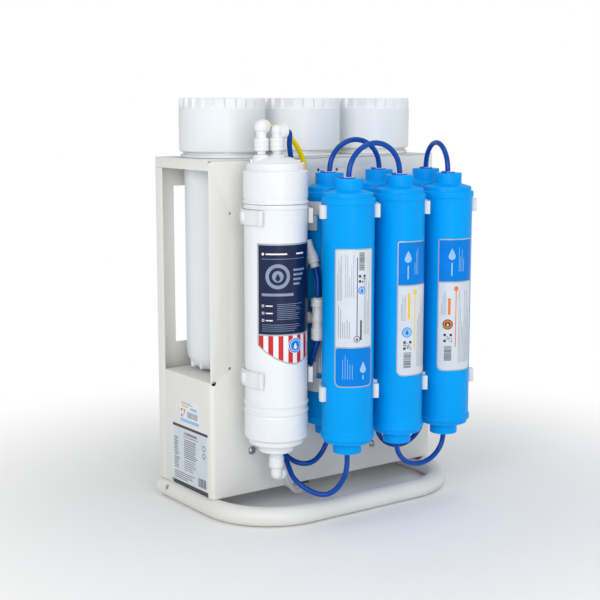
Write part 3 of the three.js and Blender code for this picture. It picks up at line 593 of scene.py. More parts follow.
def cap_tooth(r, z, angle, foot, top, outer):
    """Slanted facets round the grip band: each tooth drops inward at a step and ramps out again."""
    if z <= foot or r < outer - 6:
        return r
    t = (angle * TEETH / (2 * pi)) % 1.0
    rise = min(1.0, (z - foot) / 2.5)
    ramp_depth = 3.4 * (t / 0.2) if t < 0.2 else 3.4 * (1 - (t - 0.2) / 0.8)
    slant = 0.45 + 0.55 * (z - foot) / (top - foot)
    return r - rise * (0.15 + ramp_depth * slant)


def canister_cap(index):
    node = f"canister_cap_{index}"
    lo, hi = span(node)
    x, y = axis(node)
    outer = (hi.x - lo.x) / 2
    foot, top = lo.z, hi.z
    band = top - 13.2
    wall = outer - 3.9
    profile = [
        (0, top - 5.5), (wall - 0.6, top - 5.5), (wall, top - 6.2), (wall, foot + 0.4),
        (wall + 0.4, foot), (outer - 2.2, foot), (outer - 1.2, foot + 0.4), (outer - 0.35, foot + 1.6),
        (outer, foot + 3.4), (outer, foot + 20), (outer, band - 12), (outer, band - 0.25),
        (outer - 0.2, band), (outer - 0.2, band + 0.02)]
    steps = 8
    for k in range(1, steps + 1):
        profile.append((outer - 0.1, band + (top - 1.3 - band) * k / steps))
    profile += [
        (outer - 0.5, top - 0.55), (outer - 1.2, top - 0.1), (outer - 2.2, top), (outer - 5, top),
        (outer - 6.2, top - 0.3), (outer - 8, top - 1.2), (outer - 14, top - 1.2),
        (outer - 15, top - 1.7), (12, top - 1.7), (11.2, top - 1.25), (3, top - 1.25), (2.2, top - 1.6),
        (0, top - 1.6)]
    bm = lathe(profile, (x, y), TEETH * 14, shape=lambda r, z, a: cap_tooth(r, z, a, band, top, outer))
    piece_from(f"cap_{index}_ribbed", bm, [CAP_WHITE], [node], "cap_white", 24, f"cap_{index}")


def canister(index):
    node = f"canister_body_{index}"
    lo, hi = span(node)
    x, y = axis(node)
    foot, top = lo.z, hi.z
    flange = 434.3
    r = 47.0
    profile = [
        (0, foot + 2), (14, foot + 2), (17, foot), (24, foot), (32, foot + 2.2), (38, foot + 5.8),
        (42.4, foot + 10.5), (45.2, foot + 16), (46.6, foot + 22.5), (r, foot + 30), (r, flange - 16),
        (r, flange), (51.2, flange), (51.2, flange + 3.4), (48.2, flange + 3.4), (48.2, top - 8),
        (48.2, top), (44.4, top), (43.6, foot + 26), (36, foot + 7), (0, foot + 7)]
    bm = lathe(soften(profile, 0.9, 3), (x, y), 96)
    for k in range(12):
        outline = [(38, -2.6), (43.4, -1.9), (43.4, 1.9), (38, 2.6)]
        angle = 2 * pi * (k + 0.5) / 12
        merge_into(bm, block(outline, foot + 4.6, foot + 12.5, 0.9, about(x, y, angle)))
    piece_from(f"canister_{index}_cup", bm, [CUP_WHITE], [node], "canister_white", 28)
    seal = f"canister_seal_{index}"
    slo, shi = span(seal)
    mid = (slo.z + shi.z) / 2
    thick = (shi.z - slo.z) / 2
    reach = (shi.x - slo.x) / 2 - thick
    turns = [2 * pi * k / 16 for k in range(16)]
    ring = [(reach + thick * cos(a), mid + thick * sin(a)) for a in turns]
    bm = lathe(ring, (x, y), 96, closed=True)
    piece_from(f"canister_{index}_o_ring", bm, [RUBBER], [seal], "seal_rubber", 60, f"seal_{index}")
    cart = f"canister_cartridge_{index}"
    clo, chi = span(cart)
    rc = 33.0
    body = [(0, clo.z), (30, clo.z), (30, clo.z + 8), (rc, clo.z + 8.5)]
    wound = chi.z - clo.z - 17
    body += [(rc - 0.5 * (k % 2), clo.z + 8.5 + wound * k / 90) for k in range(1, 90)]
    body += [
        (rc, chi.z - 8), (30, chi.z - 7.5), (30, chi.z), (13, chi.z), (13, chi.z - 6), (0, chi.z - 6)]
    bm = lathe(body, (x, y), 64)
    piece_from(f"canister_{index}_cartridge", bm, [FIBRE], [cart], "cartridge_fibre", 60)


for number in (1, 2, 3):
    canister(number)
    canister_cap(number)
for number in (1, 2):
    refined(f"canister_link_{number}", FITTING, "fitting_white", 0.3)


# ---- membrane housing -------------------------------------------------------------------------
def membrane():
    lo, hi = span("membrane_housing")
    x, y = axis("membrane_housing")
    top = hi.z
    profile = [
        (0, 100), (6.2, 100), (6.2, 85.5), (9, 85.5), (9.2, 87.3), (18.6, 87.3), (20.8, 88.4),
        (21.4, 90.4), (21.4, 96.4), (22, 97.2), (29.2, 97.6), (32.4, 98.8), (33, 100.2), (33, 104.4),
        (33.6, 105.2), (36, 105.8), (37.9, 107.6), (37.9, 134.6), (37.3, 136), (37.3, 137),
        (38.6, 138.4), (38.6, 140.6), (37.3, 142), (37.2, 146.6), (38.6, 148.1), (38.6, 149.9),
        (37.2, 151.4), (37.2, 260), (37.2, 378.9), (38.3, 379.6), (38.3, 381.4), (37.2, 382.1),
        (37.2, top), (34, top), (34, 110), (10, 104), (0, 104)]
    bm = lathe(soften(profile, 0.8, 3), (x, y), 112)
    piece_from("membrane_housing_barrel", bm, [HOUSING], ["membrane_housing"], "housing_white", 26)
    clo, chi = span("membrane_cap")
    profile = [
        (0, 430), (20, 430), (33.6, 424), (33.6, 385), (37.2, 385), (38.3, 385.7), (38.3, 387.5),
        (37.5, 388.2), (37.3, 390.5), (37.9, 392.5), (37.9, 421.6), (37.2, 422.6), (34.4, 423.4),
        (34, 424.4), (34, 430.4), (33.2, 431.6), (28.6, 432.0), (27.4, 432.8), (24.4, 434.6), (20, 437),
        (14.5, 438.7), (9, 439), (0, 439)]
    base = lathe(soften(profile, 0.9, 3), (x, y), 112)
    bosses = []
    for elbow_node in ("elbow_permeate", "elbow_waste"):
        ex, ey = ELBOWS[elbow_node][0][:2]
        boss = [(0, 430), (11.5, 430), (10.4, 437), (8.6, 439.4), (8, 440.9), (0, 440.9)]
        bosses.append(lathe(soften(boss, 0.6), (ex, ey), 48))
    for k in range(2):
        outline = [(14, -1.2), (30, -1.2), (30, 1.2), (14, 1.2)]
        turned = about(x, y, radians(158 + 184 * k))
        bosses.append(block(outline, 430.5, 435.6 - k, 0.5, turned))
    bm = boolean(base, bosses)
    piece_from("membrane_cap_dome", bm, [HOUSING], ["membrane_cap"], "housing_white", 30)
    carried("membrane_element", WRAP)


# foot, turn, mouth; panel-frame Y is moved to the row frame by row()
ELBOWS = {
    "elbow_permeate": row([(-109.4, -47.9, 441.2), (-109.4, -47.9, 468.6), (-97.4, -47.6, 467.7)]),
    "elbow_waste": row([(-128.1, -43.7, 441.2), (-128.1, -43.7, 473.2), (-118.07, -34.67, 472.7)]),
    "elbow_feed": row([(-112, -49, 85.2), (-112, -49, 58.1), (-100.1, -43.7, 56)]),
}
UPPER_COLLAR = [
    (5.2, 0.3), (5.2, 3.8), (8.0, 4.4), (8.4, 5.2), (8.4, 7.6), (8.0, 8.0), (8.0, 8.7), (8.4, 9.1),
    (8.4, 12.9), (8.0, 13.3), (8.0, 14.0), (8.4, 14.4), (8.4, 18.0), (7.6, 18.9), (5.8, 19.4)]
LOWER_COLLAR = [
    (8.2, 0.3), (8.2, 5.2), (8.9, 5.9), (8.9, 11.0), (8.5, 11.4), (8.5, 12.1), (8.9, 12.5), (8.9, 17.4),
    (8, 18.2), (6.5, 18.4)]
BALL_R = 6.6


def elbow(node, spigot, collar, reach, ball_r=BALL_R):
    foot, turn, mouth = ELBOWS[node]
    up = 1 if turn.z > foot.z else -1
    out = mouth - turn
    length = out.length
    height = abs(turn.z - foot.z)
    column = bmesh.new()
    profile = [(0, -6), (spigot, -6), (spigot, 0.3)] + collar + [(collar[-1][0], height), (0, height)]
    spin(column, soften(profile, 0.45, 2), segments=56, turn=aim(foot, (0, 0, up)))
    spout = bmesh.new()
    profile = [
        (0, 0), (6.2, 0), (6.2, length - 7.6), (reach - 0.4, length - 7.2), (reach, length - 6.6),
        (reach, length - 4.6), (reach - 0.9, length - 4.2), (reach - 0.9, length - 3.6),
        (reach, length - 3.2), (reach, length - 1.4), (reach - 0.9, length - 1.0),
        (reach - 1.1, length), (4.6, length), (4.2, length - 1), (4.2, length - 5), (0, length - 5)]
    spin(spout, soften(profile, 0.3, 2), segments=56, turn=aim(turn, out))
    bm = boolean(column, [ball(turn, ball_r, 20, 48), spout])
    collet = bmesh.new()
    ring = [
        (3.25, -1.5), (4.0, -1.5), (4.0, 0.15), (5.7, 0.2), (5.9, 0.5), (5.9, 1.1), (5.6, 1.5),
        (3.6, 1.5), (3.25, 1.1)]
    spin(collet, soften(ring, 0.15, 1, True), segments=40, turn=aim(mouth, out), closed=True)
    merge_into(bm, collet, 1)
    piece_from(node + "_moulding", bm, [FITTING, PORT_WHITE], [node], "fitting_white", 34)


membrane()
elbow("elbow_permeate", 4.8, UPPER_COLLAR, 9.2)
elbow("elbow_waste", 4.8, UPPER_COLLAR, 8.6, 8.4)
elbow("elbow_feed", 5.8, LOWER_COLLAR, 7.6)


# ---- inline cartridges ------------------------------------------------------------------------
def weld(r, z, angle, foot, top, seed):
    """Slightly uneven weld line under each flange."""
    near = min(abs(z - (top - 29.7)), abs(z - (foot + 25.4)))
    if near > 0.45 or r < 30.6:
        return r
    return r + 0.45 * noise.noise(Vector((cos(angle) * 6, sin(angle) * 6, seed + z * 0.1)))


def inline_filter(rowname, index):
    node = f"filter_{rowname}_{index}"
    lo, hi = span(node)
    x, y = axis(node)
    foot, top = lo.z, hi.z
    scale = 0.86
    end = [
        (0, -10.5), (3.9, -10.5), (3.9, -0.6), (4.4, 0), (17, 0), (17, -12.2), (17.6, -13.2),
        (27.4, -15.8), (28.9, -16.6), (29.3, -21.6), (31.4, -22), (32, -22.6), (32, -28.6),
        (31.4, -29.2), (30.8, -29.3), (31.05, -30.0), (30.6, -30.6), (30.6, -34), (30.6, -60)]
    upper = [(r, top + z) for r, z in end]
    lower = [(r, foot - z * scale) for r, z in reversed(end)]
    middle = [(30.6, top - 60 - (top - foot - 60 - 60 * scale) * k / 6) for k in range(1, 6)]
    bm = bmesh.new()
    seed = index * 3.1 + (7 if rowname == "back" else 0)
    spin(bm, soften(upper + middle + lower, 0.45, 2), (x, y), 96,
         shape=lambda r, z, a: weld(r, z, a, foot, top, seed))
    piece_from(f"{node}_shell", bm, [BLUE], [node], "filter_blue", 26)
    ports = bmesh.new()
    for mouth, up in ((top, 1), (foot, -1)):
        ring = [
            (3.3, -6), (3.9, -6), (3.9, 0.1), (6.4, 0.15), (6.7, 0.5), (6.7, 1.1), (6.3, 1.5),
            (3.7, 1.5), (3.3, 1.1)]
        outward = aim((x, y, mouth), (0, 0, up))
        spin(ports, soften(ring, 0.15, 1, True), segments=40, turn=outward, closed=True)
        if up > 0:
            tab = bmesh.new()
            grip = [(6.9, -2.6), (11.2, -1.8), (11.6, 0), (11.2, 1.8), (6.9, 2.6), (7.1, 0)]
            prism(tab, grip, 0.15, 2.7, 0.35)
            arc = [(7.0 * cos(t * 0.25), 7.0 * sin(t * 0.25)) for t in range(-10, 11)]
            arc += [(8.4 * cos(t * 0.25), 8.4 * sin(t * 0.25)) for t in range(10, -11, -1)]
            prism(tab, arc, 0.1, 1.3, 0.2)
            turned = Matrix.Rotation(radians(-48 + 22 * index), 4, "Z")
            tab.transform(aim((x, y, mouth), (0, 0, 1)) @ turned)
            merge_into(ports, tab, 1)
    piece_from(f"{node}_ports", ports, [PORT_WHITE, LOCK_BLUE], (), "fitting_white", 34)


for number in (1, 2, 3):
    inline_filter("front", number)
    inline_filter("back", number)


# ---- clips ------------------------------------------------------------------------------------
def jaw(inner, outer, reach, pad, tip):
    """C-shaped jaw open towards -Y, arms reaching `reach` radians from the back, padded at the tips."""
    count = 44
    start = pi / 2 - reach
    end = pi / 2 + reach
    outside = []
    for k in range(count + 1):
        angle = start + (end - start) * k / count
        gap = min(angle - start, end - angle)
        extra = pad if gap < tip else 0.0
        outside.append(((outer + extra) * cos(angle), (outer + extra) * sin(angle)))
    turns = [end + (start - end) * k / count for k in range(count + 1)]
    return outside + [(inner * cos(a), inner * sin(a)) for a in turns]


def membrane_clip(node):
    lo, hi = span(node)
    x, y = axis("membrane_housing")
    inner = 38.1
    arms = block(jaw(inner, inner + 3.2, 2.17, 2.4, 0.13), lo.z, hi.z, 0.6, about(x, y))
    seat = bmesh.new()
    cuboid(seat, x - 8, x + 8, y + inner + 0.8, hi.y, lo.z, hi.z, 0.6)
    parts = [seat]
    for side in (-1, 1):
        rib = [(inner + 2.4, -4.5), (inner + 5.4, -3.6), (inner + 5.4, 3.6), (inner + 2.4, 4.5)]
        parts.append(block(rib, lo.z + 4, hi.z - 3, 0.5, about(x, y, pi / 2 + side * 1.35)))
    bm = boolean(arms, parts)
    piece_from(node + "_moulding", bm, [CLIP], [node], "clip_white", 34)


def double_clip(node, index):
    lo, hi = span(node)
    fx, fy = axis(f"filter_front_{index}")
    bx, by = axis(f"filter_back_{index}")
    tilt = atan2(fx - bx, by - fy)
    inner = 30.85
    outer = inner + 3.2
    front = block(jaw(inner, outer, 1.85, 3.2, 0.2), lo.z, hi.z, 0.6, about(fx, fy, tilt))
    back = block(jaw(inner, outer, 1.9, 1.2, 0.15), lo.z, hi.z, 0.6, about(bx, by, pi + tilt))
    bm = boolean(front, [back])
    piece_from(node + "_moulding", bm, [CLIP], [node], "clip_white", 34)


for level in ("upper", "lower"):
    membrane_clip(f"membrane_clip_{level}")
    refined(f"rear_clip_rail_{level}", CLIP, "clip_white", 0.4, 34)
    for number in (1, 2, 3):
        double_clip(f"double_clip_{level}_{number}", number)


# ---- fittings ---------------------------------------------------------------------------------
def port_collet(bm, at, direction):
    r = 3.3
    ring = [
        (r, -2), (r + 0.6, -2), (r + 0.6, 0.1), (r + 2.2, 0.15), (r + 2.5, 0.5), (r + 2.5, 1.0),
        (r + 2.2, 1.4), (r + 0.3, 1.4), (r, 1.0)]
    spin(bm, soften(ring, 0.12, 1, True), segments=36, turn=aim(at, direction), closed=True, material=1)


VALVE_FOOT, VALVE_TOP = row([(-63.3, -60, 308), (-68, -51.5, 338.5)])


def check_valve():
    out = VALVE_TOP - VALVE_FOOT
    top = out.length
    profile = [
        (0, 10), (3.8, 10), (3.8, 0), (5.4, 0), (5.4, 3.0), (5.0, 3.4), (5.0, 3.9), (7.0, 4.3),
        (7.3, 5.0), (7.3, 6.8), (6.9, 7.2), (6.9, 7.8), (7.3, 8.2), (7.3, 10.6), (6.9, 13.6),
        (5.8, 18.6), (5.1, 21.8), (5.0, 24), (5, top), (3.8, top), (3.8, top - 8), (0, top - 8)]
    bm = lathe(soften(profile, 0.5, 3), segments=56, turn=aim(VALVE_FOOT, out))
    port_collet(bm, VALVE_FOOT, -out)
    piece_from("check_valve_moulding", bm, [FITTING, PORT_WHITE], ["check_valve"], "fitting_white", 32)


def tee():
    lo, hi = span("tee")
    x, y = row([(-64.5, -67.5, 0)])[0][:2]
    mid = (lo.z + hi.z) / 2
    height = (hi.z - lo.z) / 2

    def run(collar):
        neck = height - collar * 0.45
        end = height - collar
        return [(0, 13), (3.8, 13), (3.8, height), (8.2, height), (8.2, neck), (7.8, neck - 0.4),
                (7.8, neck - 1.2), (8.2, neck - 1.6), (8.2, end), (7.4, end - 0.9), (6.8, end - 1.4),
                (6.8, 0), (0, 0)]
    top = lathe(soften(run(9), 0.4, 2), segments=56, turn=aim((x, y, mid), (0, 0, 1)))
    foot = lathe(soften(run(13), 0.4, 2), segments=56, turn=aim((x, y, mid), (0, 0, -1)))
    out = Vector((-2.2, 17.8, 0))
    length = out.length
    arm = [
        (0, 8.2), (3.8, 8.2), (3.8, length), (6.9, length), (6.9, length - 4.8), (6.3, length - 5.6),
        (6.2, length - 7), (6.2, 0), (0, 0)]
    branch = lathe(soften(arm, 0.5, 3), segments=48, turn=aim((x, y, mid), out))
    bm = boolean(ball((x, y, mid), 7.9, 16, 40), [top, foot, branch])
    port_collet(bm, (x, y, hi.z), (0, 0, 1))
    port_collet(bm, (x, y, lo.z), (0, 0, -1))
    port_collet(bm, Vector((x, y, mid)) + out, out)
    piece_from("tee_moulding", bm, [FITTING, PORT_WHITE], ["tee"], "fitting_white", 34)


check_valve()
tee()
refined("port_block", FITTING, "fitting_white", 0.5)
refined("booster_pump", PUMP, "pump_black", 0.5)
refined("power_supply", SUPPLY, "supply_black", 0.6)


# ---- tubes ------------------------------------------------------------------------------------
TUBE_R = 3.175


def half_loop(start, end, rise):
    """Half loop between two port mouths, bulging by rise above (positive) or below (negative) them."""
    up = 1 if rise > 0 else -1
    points = [start - Vector((0, 0, up * 8.5)), start + Vector((0, 0, up * 3))]
    for k in range(1, 8):
        angle = k / 8 * pi
        point = start.lerp(end, (1 - cos(angle)) / 2)
        point.z += up * 3 + (rise - up * 3) * sin(angle)
        points.append(point)
    return points + [end + Vector((0, 0, up * 3)), end - Vector((0, 0, up * 8.5))]


def tube(node, points, material, slot):
    bm = bmesh.new()
    sweep(bm, catmull(points), TUBE_R, 24)
    piece_from(node + "_smooth", bm, [material], [node], slot, 60)


def port(rowname, index, upper):
    node = f"filter_{rowname}_{index}"
    lo, hi = span(node)
    return Vector((*axis(node), hi.z if upper else lo.z))


# points in the panel frame; wall is the X of a last run up the panel to the port block
ROUTES = (
    ("tube_permeate", TUBE_BLUE, "tube_blue", None, (
        (-103.4, -47.75, 468.15), (-97.4, -47.6, 467.7), (-93.4, -47.5, 467.4), (-90.6, -46.8, 465.2),
        (-89.4, -45.6, 460.5), (-87, -41.4, 452.8), (-81.4, -34.8, 444), (-76.6, -29.6, 436.4),
        (-74.9, -28.2, 430), (-72.6, -27.8, 410), (-70.4, -28.2, 390), (-68.9, -31.5, 373),
        (-67.9, -37.8, 362), (-68.3, -44.5, 352.5), (-68.9, -49.4, 345.6), (-68, -51.5, 338.5),
        (-66.9, -53.5, 331.4))),
    ("tube_valve_tee", TUBE_BLUE, "tube_blue", None, (
        (-64.4, -58, 315.2), (-63.3, -60, 308), (-62.5, -61.6, 301.8), (-62.4, -64.4, 293),
        (-63.3, -66.5, 284), (-64.5, -67.5, 276), (-64.5, -67.5, 268), (-64.5, -67.5, 260))),
    ("tube_tee_down", TUBE_BLUE, "tube_blue", -76, (
        (-64.5, -67.5, 232), (-64.5, -67.5, 224), (-64.8, -67.3, 218), (-65.8, -65.8, 210.5),
        (-66.2, -62, 202), (-66.4, -56.2, 191), (-67.2, -49.5, 180), (-67.5, -43, 169),
        (-67.8, -35.5, 157), (-68.6, -27.5, 146), (-70.5, -20, 136), (-72.6, -13.5, 129.5),
        (-74.6, -8.4, 129), (-75.8, -5.8, 138))),
    ("tube_front_1_in", TUBE_BLUE, "tube_blue", -98, (
        (-48, -105, 97), (-48, -105, 88), (-48, -105, 79), (-48.4, -104.9, 69), (-50.6, -104.3, 59),
        (-54.8, -102, 49.5), (-60.2, -98.5, 41.6), (-66.6, -93.5, 36.4), (-72.9, -87.5, 35),
        (-79.5, -80.5, 37), (-85.5, -73, 41.3), (-90.5, -65, 46.6), (-92.4, -56, 52.2),
        (-89.4, -45, 58), (-86.4, -34, 66), (-85.2, -26, 72.5), (-88, -18.5, 82), (-92, -12.5, 94),
        (-96.5, -8, 110), (-98, -6, 128))),
    ("tube_back_1_out", TUBE_BLUE, "tube_blue", -87, (
        (-28.3, -42, 105.5), (-28.3, -42, 97), (-28.8, -42, 90), (-33, -41.8, 80), (-40, -41.3, 69.5),
        (-50, -40.8, 62.2), (-61, -38.5, 60), (-69.9, -32, 61.8), (-74.8, -21.5, 66.3),
        (-79.5, -11.5, 74.5), (-84.5, -7, 90), (-86.8, -5.6, 108), (-87, -5.4, 128))),
    ("tube_tank", TUBE_BLUE, "tube_blue", None, (
        (-65.61, -58.51, 245.5), (-66.15, -54.15, 245.5), (-66.7, -49.7, 245.5), (-67.3, -44.7, 245.7),
        (-68.5, -36, 248), (-70.5, -24, 256.5), (-72, -15, 260.2), (-72, -10, 260.5),
        (-72, -5, 260.5))),
    ("tube_waste", TUBE_YELLOW, "tube_yellow", None, (
        (-123, -39.11, 472.9), (-118.07, -34.67, 472.7), (-114.4, -31.4, 472.6), (-109, -27.6, 472.4),
        (-101, -24.4, 471.8), (-91, -22.2, 469.8), (-81, -20.4, 466), (-71, -18.6, 460.2),
        (-61, -16, 452.5), (-52.6, -13.4, 443), (-46.8, -12, 433.5), (-44.2, -11.4, 423),
        (-45, -10.6, 410), (-50, -9.4, 396), (-56.5, -8, 380), (-63.5, -6.8, 362), (-70.5, -6, 342),
        (-81, -5.6, 316), (-89, -5.4, 295), (-91.8, -5.4, 280), (-92, -5.4, 270), (-92, -5.4, 262))),
    ("tube_feed", TUBE_CLEAR, "tube_clear", None, (
        (-105.6, -46.15, 56.97), (-100.1, -43.7, 56), (-96.2, -42, 55.2), (-92.8, -40.1, 51),
        (-88.6, -36.8, 44), (-79.5, -30, 34.4), (-68.5, -22.5, 25), (-58.2, -15, 18.6),
        (-48, -8, 15.4), (-40.5, -1.5, 14.7), (-39, 6, 14.7), (-43, 13, 14.9), (-49, 18.5, 16.8),
        (-54, 21.5, 22.5), (-57, 23.5, 30), (-59, 25, 40), (-61.5, 27, 52), (-66, 30, 66),
        (-72, 36, 90), (-80, 46, 120), (-91, 63, 137), (-102, 79, 140), (-109.5, 90, 134),
        (-112, 95, 123), (-112, 95, 114), (-112, 95, 103))),
)


def tubes():
    loops = [
        ("tube_front_1_2", port("front", 1, True), port("front", 2, True), 39),
        ("tube_back_1_2", port("back", 1, True), port("back", 2, True), 38),
        ("tube_front_back_3", port("front", 3, True), port("back", 3, True), 34.5),
        ("tube_front_2_3", port("front", 2, False), port("front", 3, False), -35.5),
        ("tube_back_2_3", port("back", 2, False), port("back", 3, False), -36.6),
    ]
    for node, a, b, rise in loops:
        tube(node, half_loop(a, b, rise), TUBE_BLUE, "tube_blue")
    for node, material, slot, wall, points in ROUTES:
        end = [(wall, -5.4, z) for z in (150, 200, 230, 251)] if wall else []
        tube(node, row([*points, *end]), material, slot)


tubes()


# ---- labels -----------------------------------------------------------------------------------
VIEW_ANGLE = radians(-125.7)
HOUSING_R = 37.2
BARREL_R = 30.6
LABEL_WIDE = 49.5
LABEL_EDGE = 1.3
FIELD_GAP = 1.6
FILM_SET = [SILVER, FOIL, PAPER, NAVY, SKY, INK, MID, PALE, STEEL, RED, YELLOW, ORANGE]


class Artwork:
    """Thin closed slabs laid on a surface; place(u, z, h) gives a point h above that surface."""

    def __init__(self, place, step=1.3):
        self.bm = bmesh.new()
        self.place = place
        self.step = step

    def slab(self, columns, level, material):
        """columns is a list of (u, z low, z high)."""
        base = 0.02 + 0.05 * level
        top = 0.12 + 0.05 * level
        index = FILM_SET.index(material)
        rings = []
        for u, low, high in columns:
            rings.append([self.bm.verts.new(self.place(u, z, h))
                          for z, h in ((low, top), (high, top), (high, base), (low, base))])
        for a, b in zip(rings, rings[1:]):
            for k in range(4):
                n = (k + 1) % 4
                self.bm.faces.new((a[k], b[k], b[n], a[n])).material_index = index
        self.bm.faces.new(rings[0]).material_index = index
        self.bm.faces.new(rings[-1][::-1]).material_index = index

    def grid(self, u0, u1):
        count = max(1, ceil((u1 - u0) / self.step))
        return [u0 + (u1 - u0) * k / count for k in range(count + 1)]

    def patch(self, u0, u1, z0, z1, level, material, corners=(0, 0, 0, 0)):
        """Rectangle with rounded corners, listed as left low, left high, right high, right low."""
        ll, lh, rh, rl = corners
        stops = set(self.grid(u0, u1))
        for r, sign, edge in ((max(ll, lh), 1, u0), (max(rl, rh), -1, u1)):
            if r:
                stops.update(edge + sign * r * (1 - cos(pi / 2 * k / 6)) for k in range(7))
        columns = []
        for u in sorted(stops):
            low, high = z0, z1
            for r, side in ((ll, u - u0), (rl, u1 - u)):
                if side < r:
                    low = max(low, z0 + r - sqrt(max(0, r * r - (r - side) ** 2)))
            for r, side in ((lh, u - u0), (rh, u1 - u)):
                if side < r:
                    high = min(high, z1 - r + sqrt(max(0, r * r - (r - side) ** 2)))
            if not columns or u - columns[-1][0] > 0.02:
                columns.append((u, low, high))
        self.slab(columns, level, material)

    def disc(self, u, z, r, level, material):
        columns = []
        for k in range(17):
            angle = pi * k / 16
            reach = max(0.02, r * sin(angle))
            columns.append((u - r * cos(angle), z - reach, z + reach))
        self.slab(columns, level, material)

    def drop(self, u, z, r, level, material):
        """Generic water drop, point up."""
        columns = []
        for k in range(17):
            s = -cos(pi * k / 16)
            low = z - r * sqrt(max(0, 1 - s * s)) - 0.02
            high = z + r * (2.1 * (1 - abs(s)) ** 0.8 + 0.1 * (1 - abs(s))) + 0.02
            columns.append((u + r * s, low, high))
        self.slab(columns, level, material)

    def lines_across(self, u0, u1, z0, z1, pitch, level, material, thick=0.5, seed=1.0):
        """Ruled lines of uneven length, one above another."""
        z = z1
        k = 0
        while z > z0:
            k += 1
            cut = 0.62 + 0.38 * abs(noise.noise(Vector((seed, k * 0.73, 0.3)))) * 2
            self.patch(u0, u0 + (u1 - u0) * min(1, cut), z - thick, z, level, material)
            z -= pitch

    def lines_up(self, u0, u1, z0, z1, pitch, level, material, thick=0.5, seed=1.0):
        """Ruled lines of uneven length that run up the surface, side by side."""
        u = u0
        k = 0
        while u < u1:
            k += 1
            cut = 0.45 + 0.55 * min(1, abs(noise.noise(Vector((seed, k * 0.61, 1.7)))) * 2.6)
            self.patch(u, u + thick, z0, z0 + (z1 - z0) * cut, level, material)
            u += pitch

    def bars(self, u0, u1, z0, z1, level, material, seed=1.0, across=False):
        """Barcode block: bars of uneven width."""
        at, end = (z0, z1) if across else (u0, u1)
        k = 0
        while at < end - 0.3:
            k += 1
            wide = 0.35 + 0.5 * abs(noise.noise(Vector((seed, k * 1.37, 4.1)))) * 2
            stop = min(end, at + wide)
            if across:
                self.patch(u0, u1, at, stop, level, material)
            else:
                self.patch(at, stop, z0, z1, level, material)
            at = stop + 0.35 + 0.4 * abs(noise.noise(Vector((seed, k * 0.9, 8.1)))) * 2

    def chequer(self, u0, z0, cell, count, level, material, seed=1.0):
        """Square block of scattered cells."""
        for i in range(count):
            k = 0
            while k < count:
                run = 0
                while k + run < count and self.filled(i, k + run, count, seed):
                    run += 1
                if run:
                    self.patch(u0 + i * cell, u0 + (i + 1) * cell, z0 + k * cell, z0 + (k + run) * cell,
                               level, material)
                k += run + 1

    @staticmethod
    def filled(i, k, count, seed):
        for ci, ck in ((0, 0), (0, count - 1), (count - 1, count - 1)):
            edge = max(abs(i - ci - (1 if ci == 0 else -1)), abs(k - ck - (1 if ck == 0 else -1)))
            if edge <= 2:
                return edge <= 1
        return noise.cell(Vector((i * 1.3 + seed, k * 1.7, seed * 0.37))) > 0.5

    def badge(self, u, z, discs, down=0.0, r=0.0, material=None):
        """Discs one on another from level 2 up, with a drop on the last."""
        for level, (radius, disc_material) in enumerate(discs, 2):
            self.disc(u, z, radius, level, disc_material)
        if r:
            self.drop(u, z - down, r, 2 + len(discs), material)

    def place_on(self, name):
        piece_from(name, self.bm, FILM_SET, (), None, 40)


def on_barrel(node, r, offset):
    """Surface of a barrel, u running round it from offset degrees off the view."""
    x, y = axis(node)
    start = VIEW_ANGLE + radians(offset)

    def place(u, z, h):
        angle = start + u / r
        return Vector((x + (r + h) * cos(angle), y + (r + h) * sin(angle), z))
    return place


def on_side(y):
    """Left outer face of the panel, u running forward from y."""
    wall = span("front_panel")[0].x
    return lambda u, z, h: Vector((wall - h, y + SHIFT_Y - u, z))


def filter_base(node, offset, z0, z1):
    art = Artwork(on_barrel(node, BARREL_R, offset))
    art.patch(0, LABEL_WIDE, z0, z1, 0, SILVER, (7, 3, 3, 7))
    return art


def foil_and_sky(art, z0, split, z1):
    right = LABEL_WIDE - LABEL_EDGE
    art.patch(LABEL_EDGE, right, z0 + LABEL_EDGE, split - FIELD_GAP, 1, FOIL, (6, 0, 0, 6))
    art.patch(LABEL_EDGE, right, split, z1 - LABEL_EDGE, 1, SKY, (0, 2, 2, 0))


def label_one():
    z0, split, z1 = 173, 221, 335
    art = filter_base("filter_front_1", -32, z0, z1)
    right = LABEL_WIDE - LABEL_EDGE
    art.patch(LABEL_EDGE, right, split, z1 - LABEL_EDGE, 1, FOIL, (0, 2, 2, 0))
    art.patch(LABEL_EDGE, right, z0 + LABEL_EDGE, split - FIELD_GAP, 1, SKY, (6, 4, 4, 6))
    art.lines_up(3.5, 9.5, split + 54, z1 - 8, 1.5, 2, MID, 0.45, 2.3)
    art.lines_up(4.5, 20, split + 10, split + 50, 2.6, 2, MID, 0.6, 6.3)
    art.lines_up(13, 24, split + 58, z1 - 6, 2.3, 2, MID, 0.45, 4.4)
    art.patch(26.2, 27.2, split + 12, z1 - 10, 2, INK)
    art.badge(26.7, split + 9, ((3.9, INK), (3.1, FOIL)), 0.8, 1.3, INK)
    art.lines_up(30.6, 33.6, split + 8, split + 56, 4.2, 2, INK, 2.2, 5.1)
    art.lines_up(36, 44, split + 14, split + 96, 2.2, 2, MID, 0.5, 3.7)
    art.badge(32.5, split + 66, ((4.6, SKY), (3.7, PALE)), 1, 1.5, SKY)
    art.chequer(28.6, split + 75, 1.0, 9, 2, INK, 3.3)
    art.bars(29, 36, split + 89, split + 110, 2, INK, 2.2, across=True)
    art.drop(35, 194, 4.2, 2, PALE)
    art.patch(34.2, 35.8, z0 + 9, 187, 2, PALE)
    art.lines_up(10, 24, z0 + 10, split - 10, 2.8, 2, PALE, 0.5, 6.6)
    art.place_on("label_filter_1")


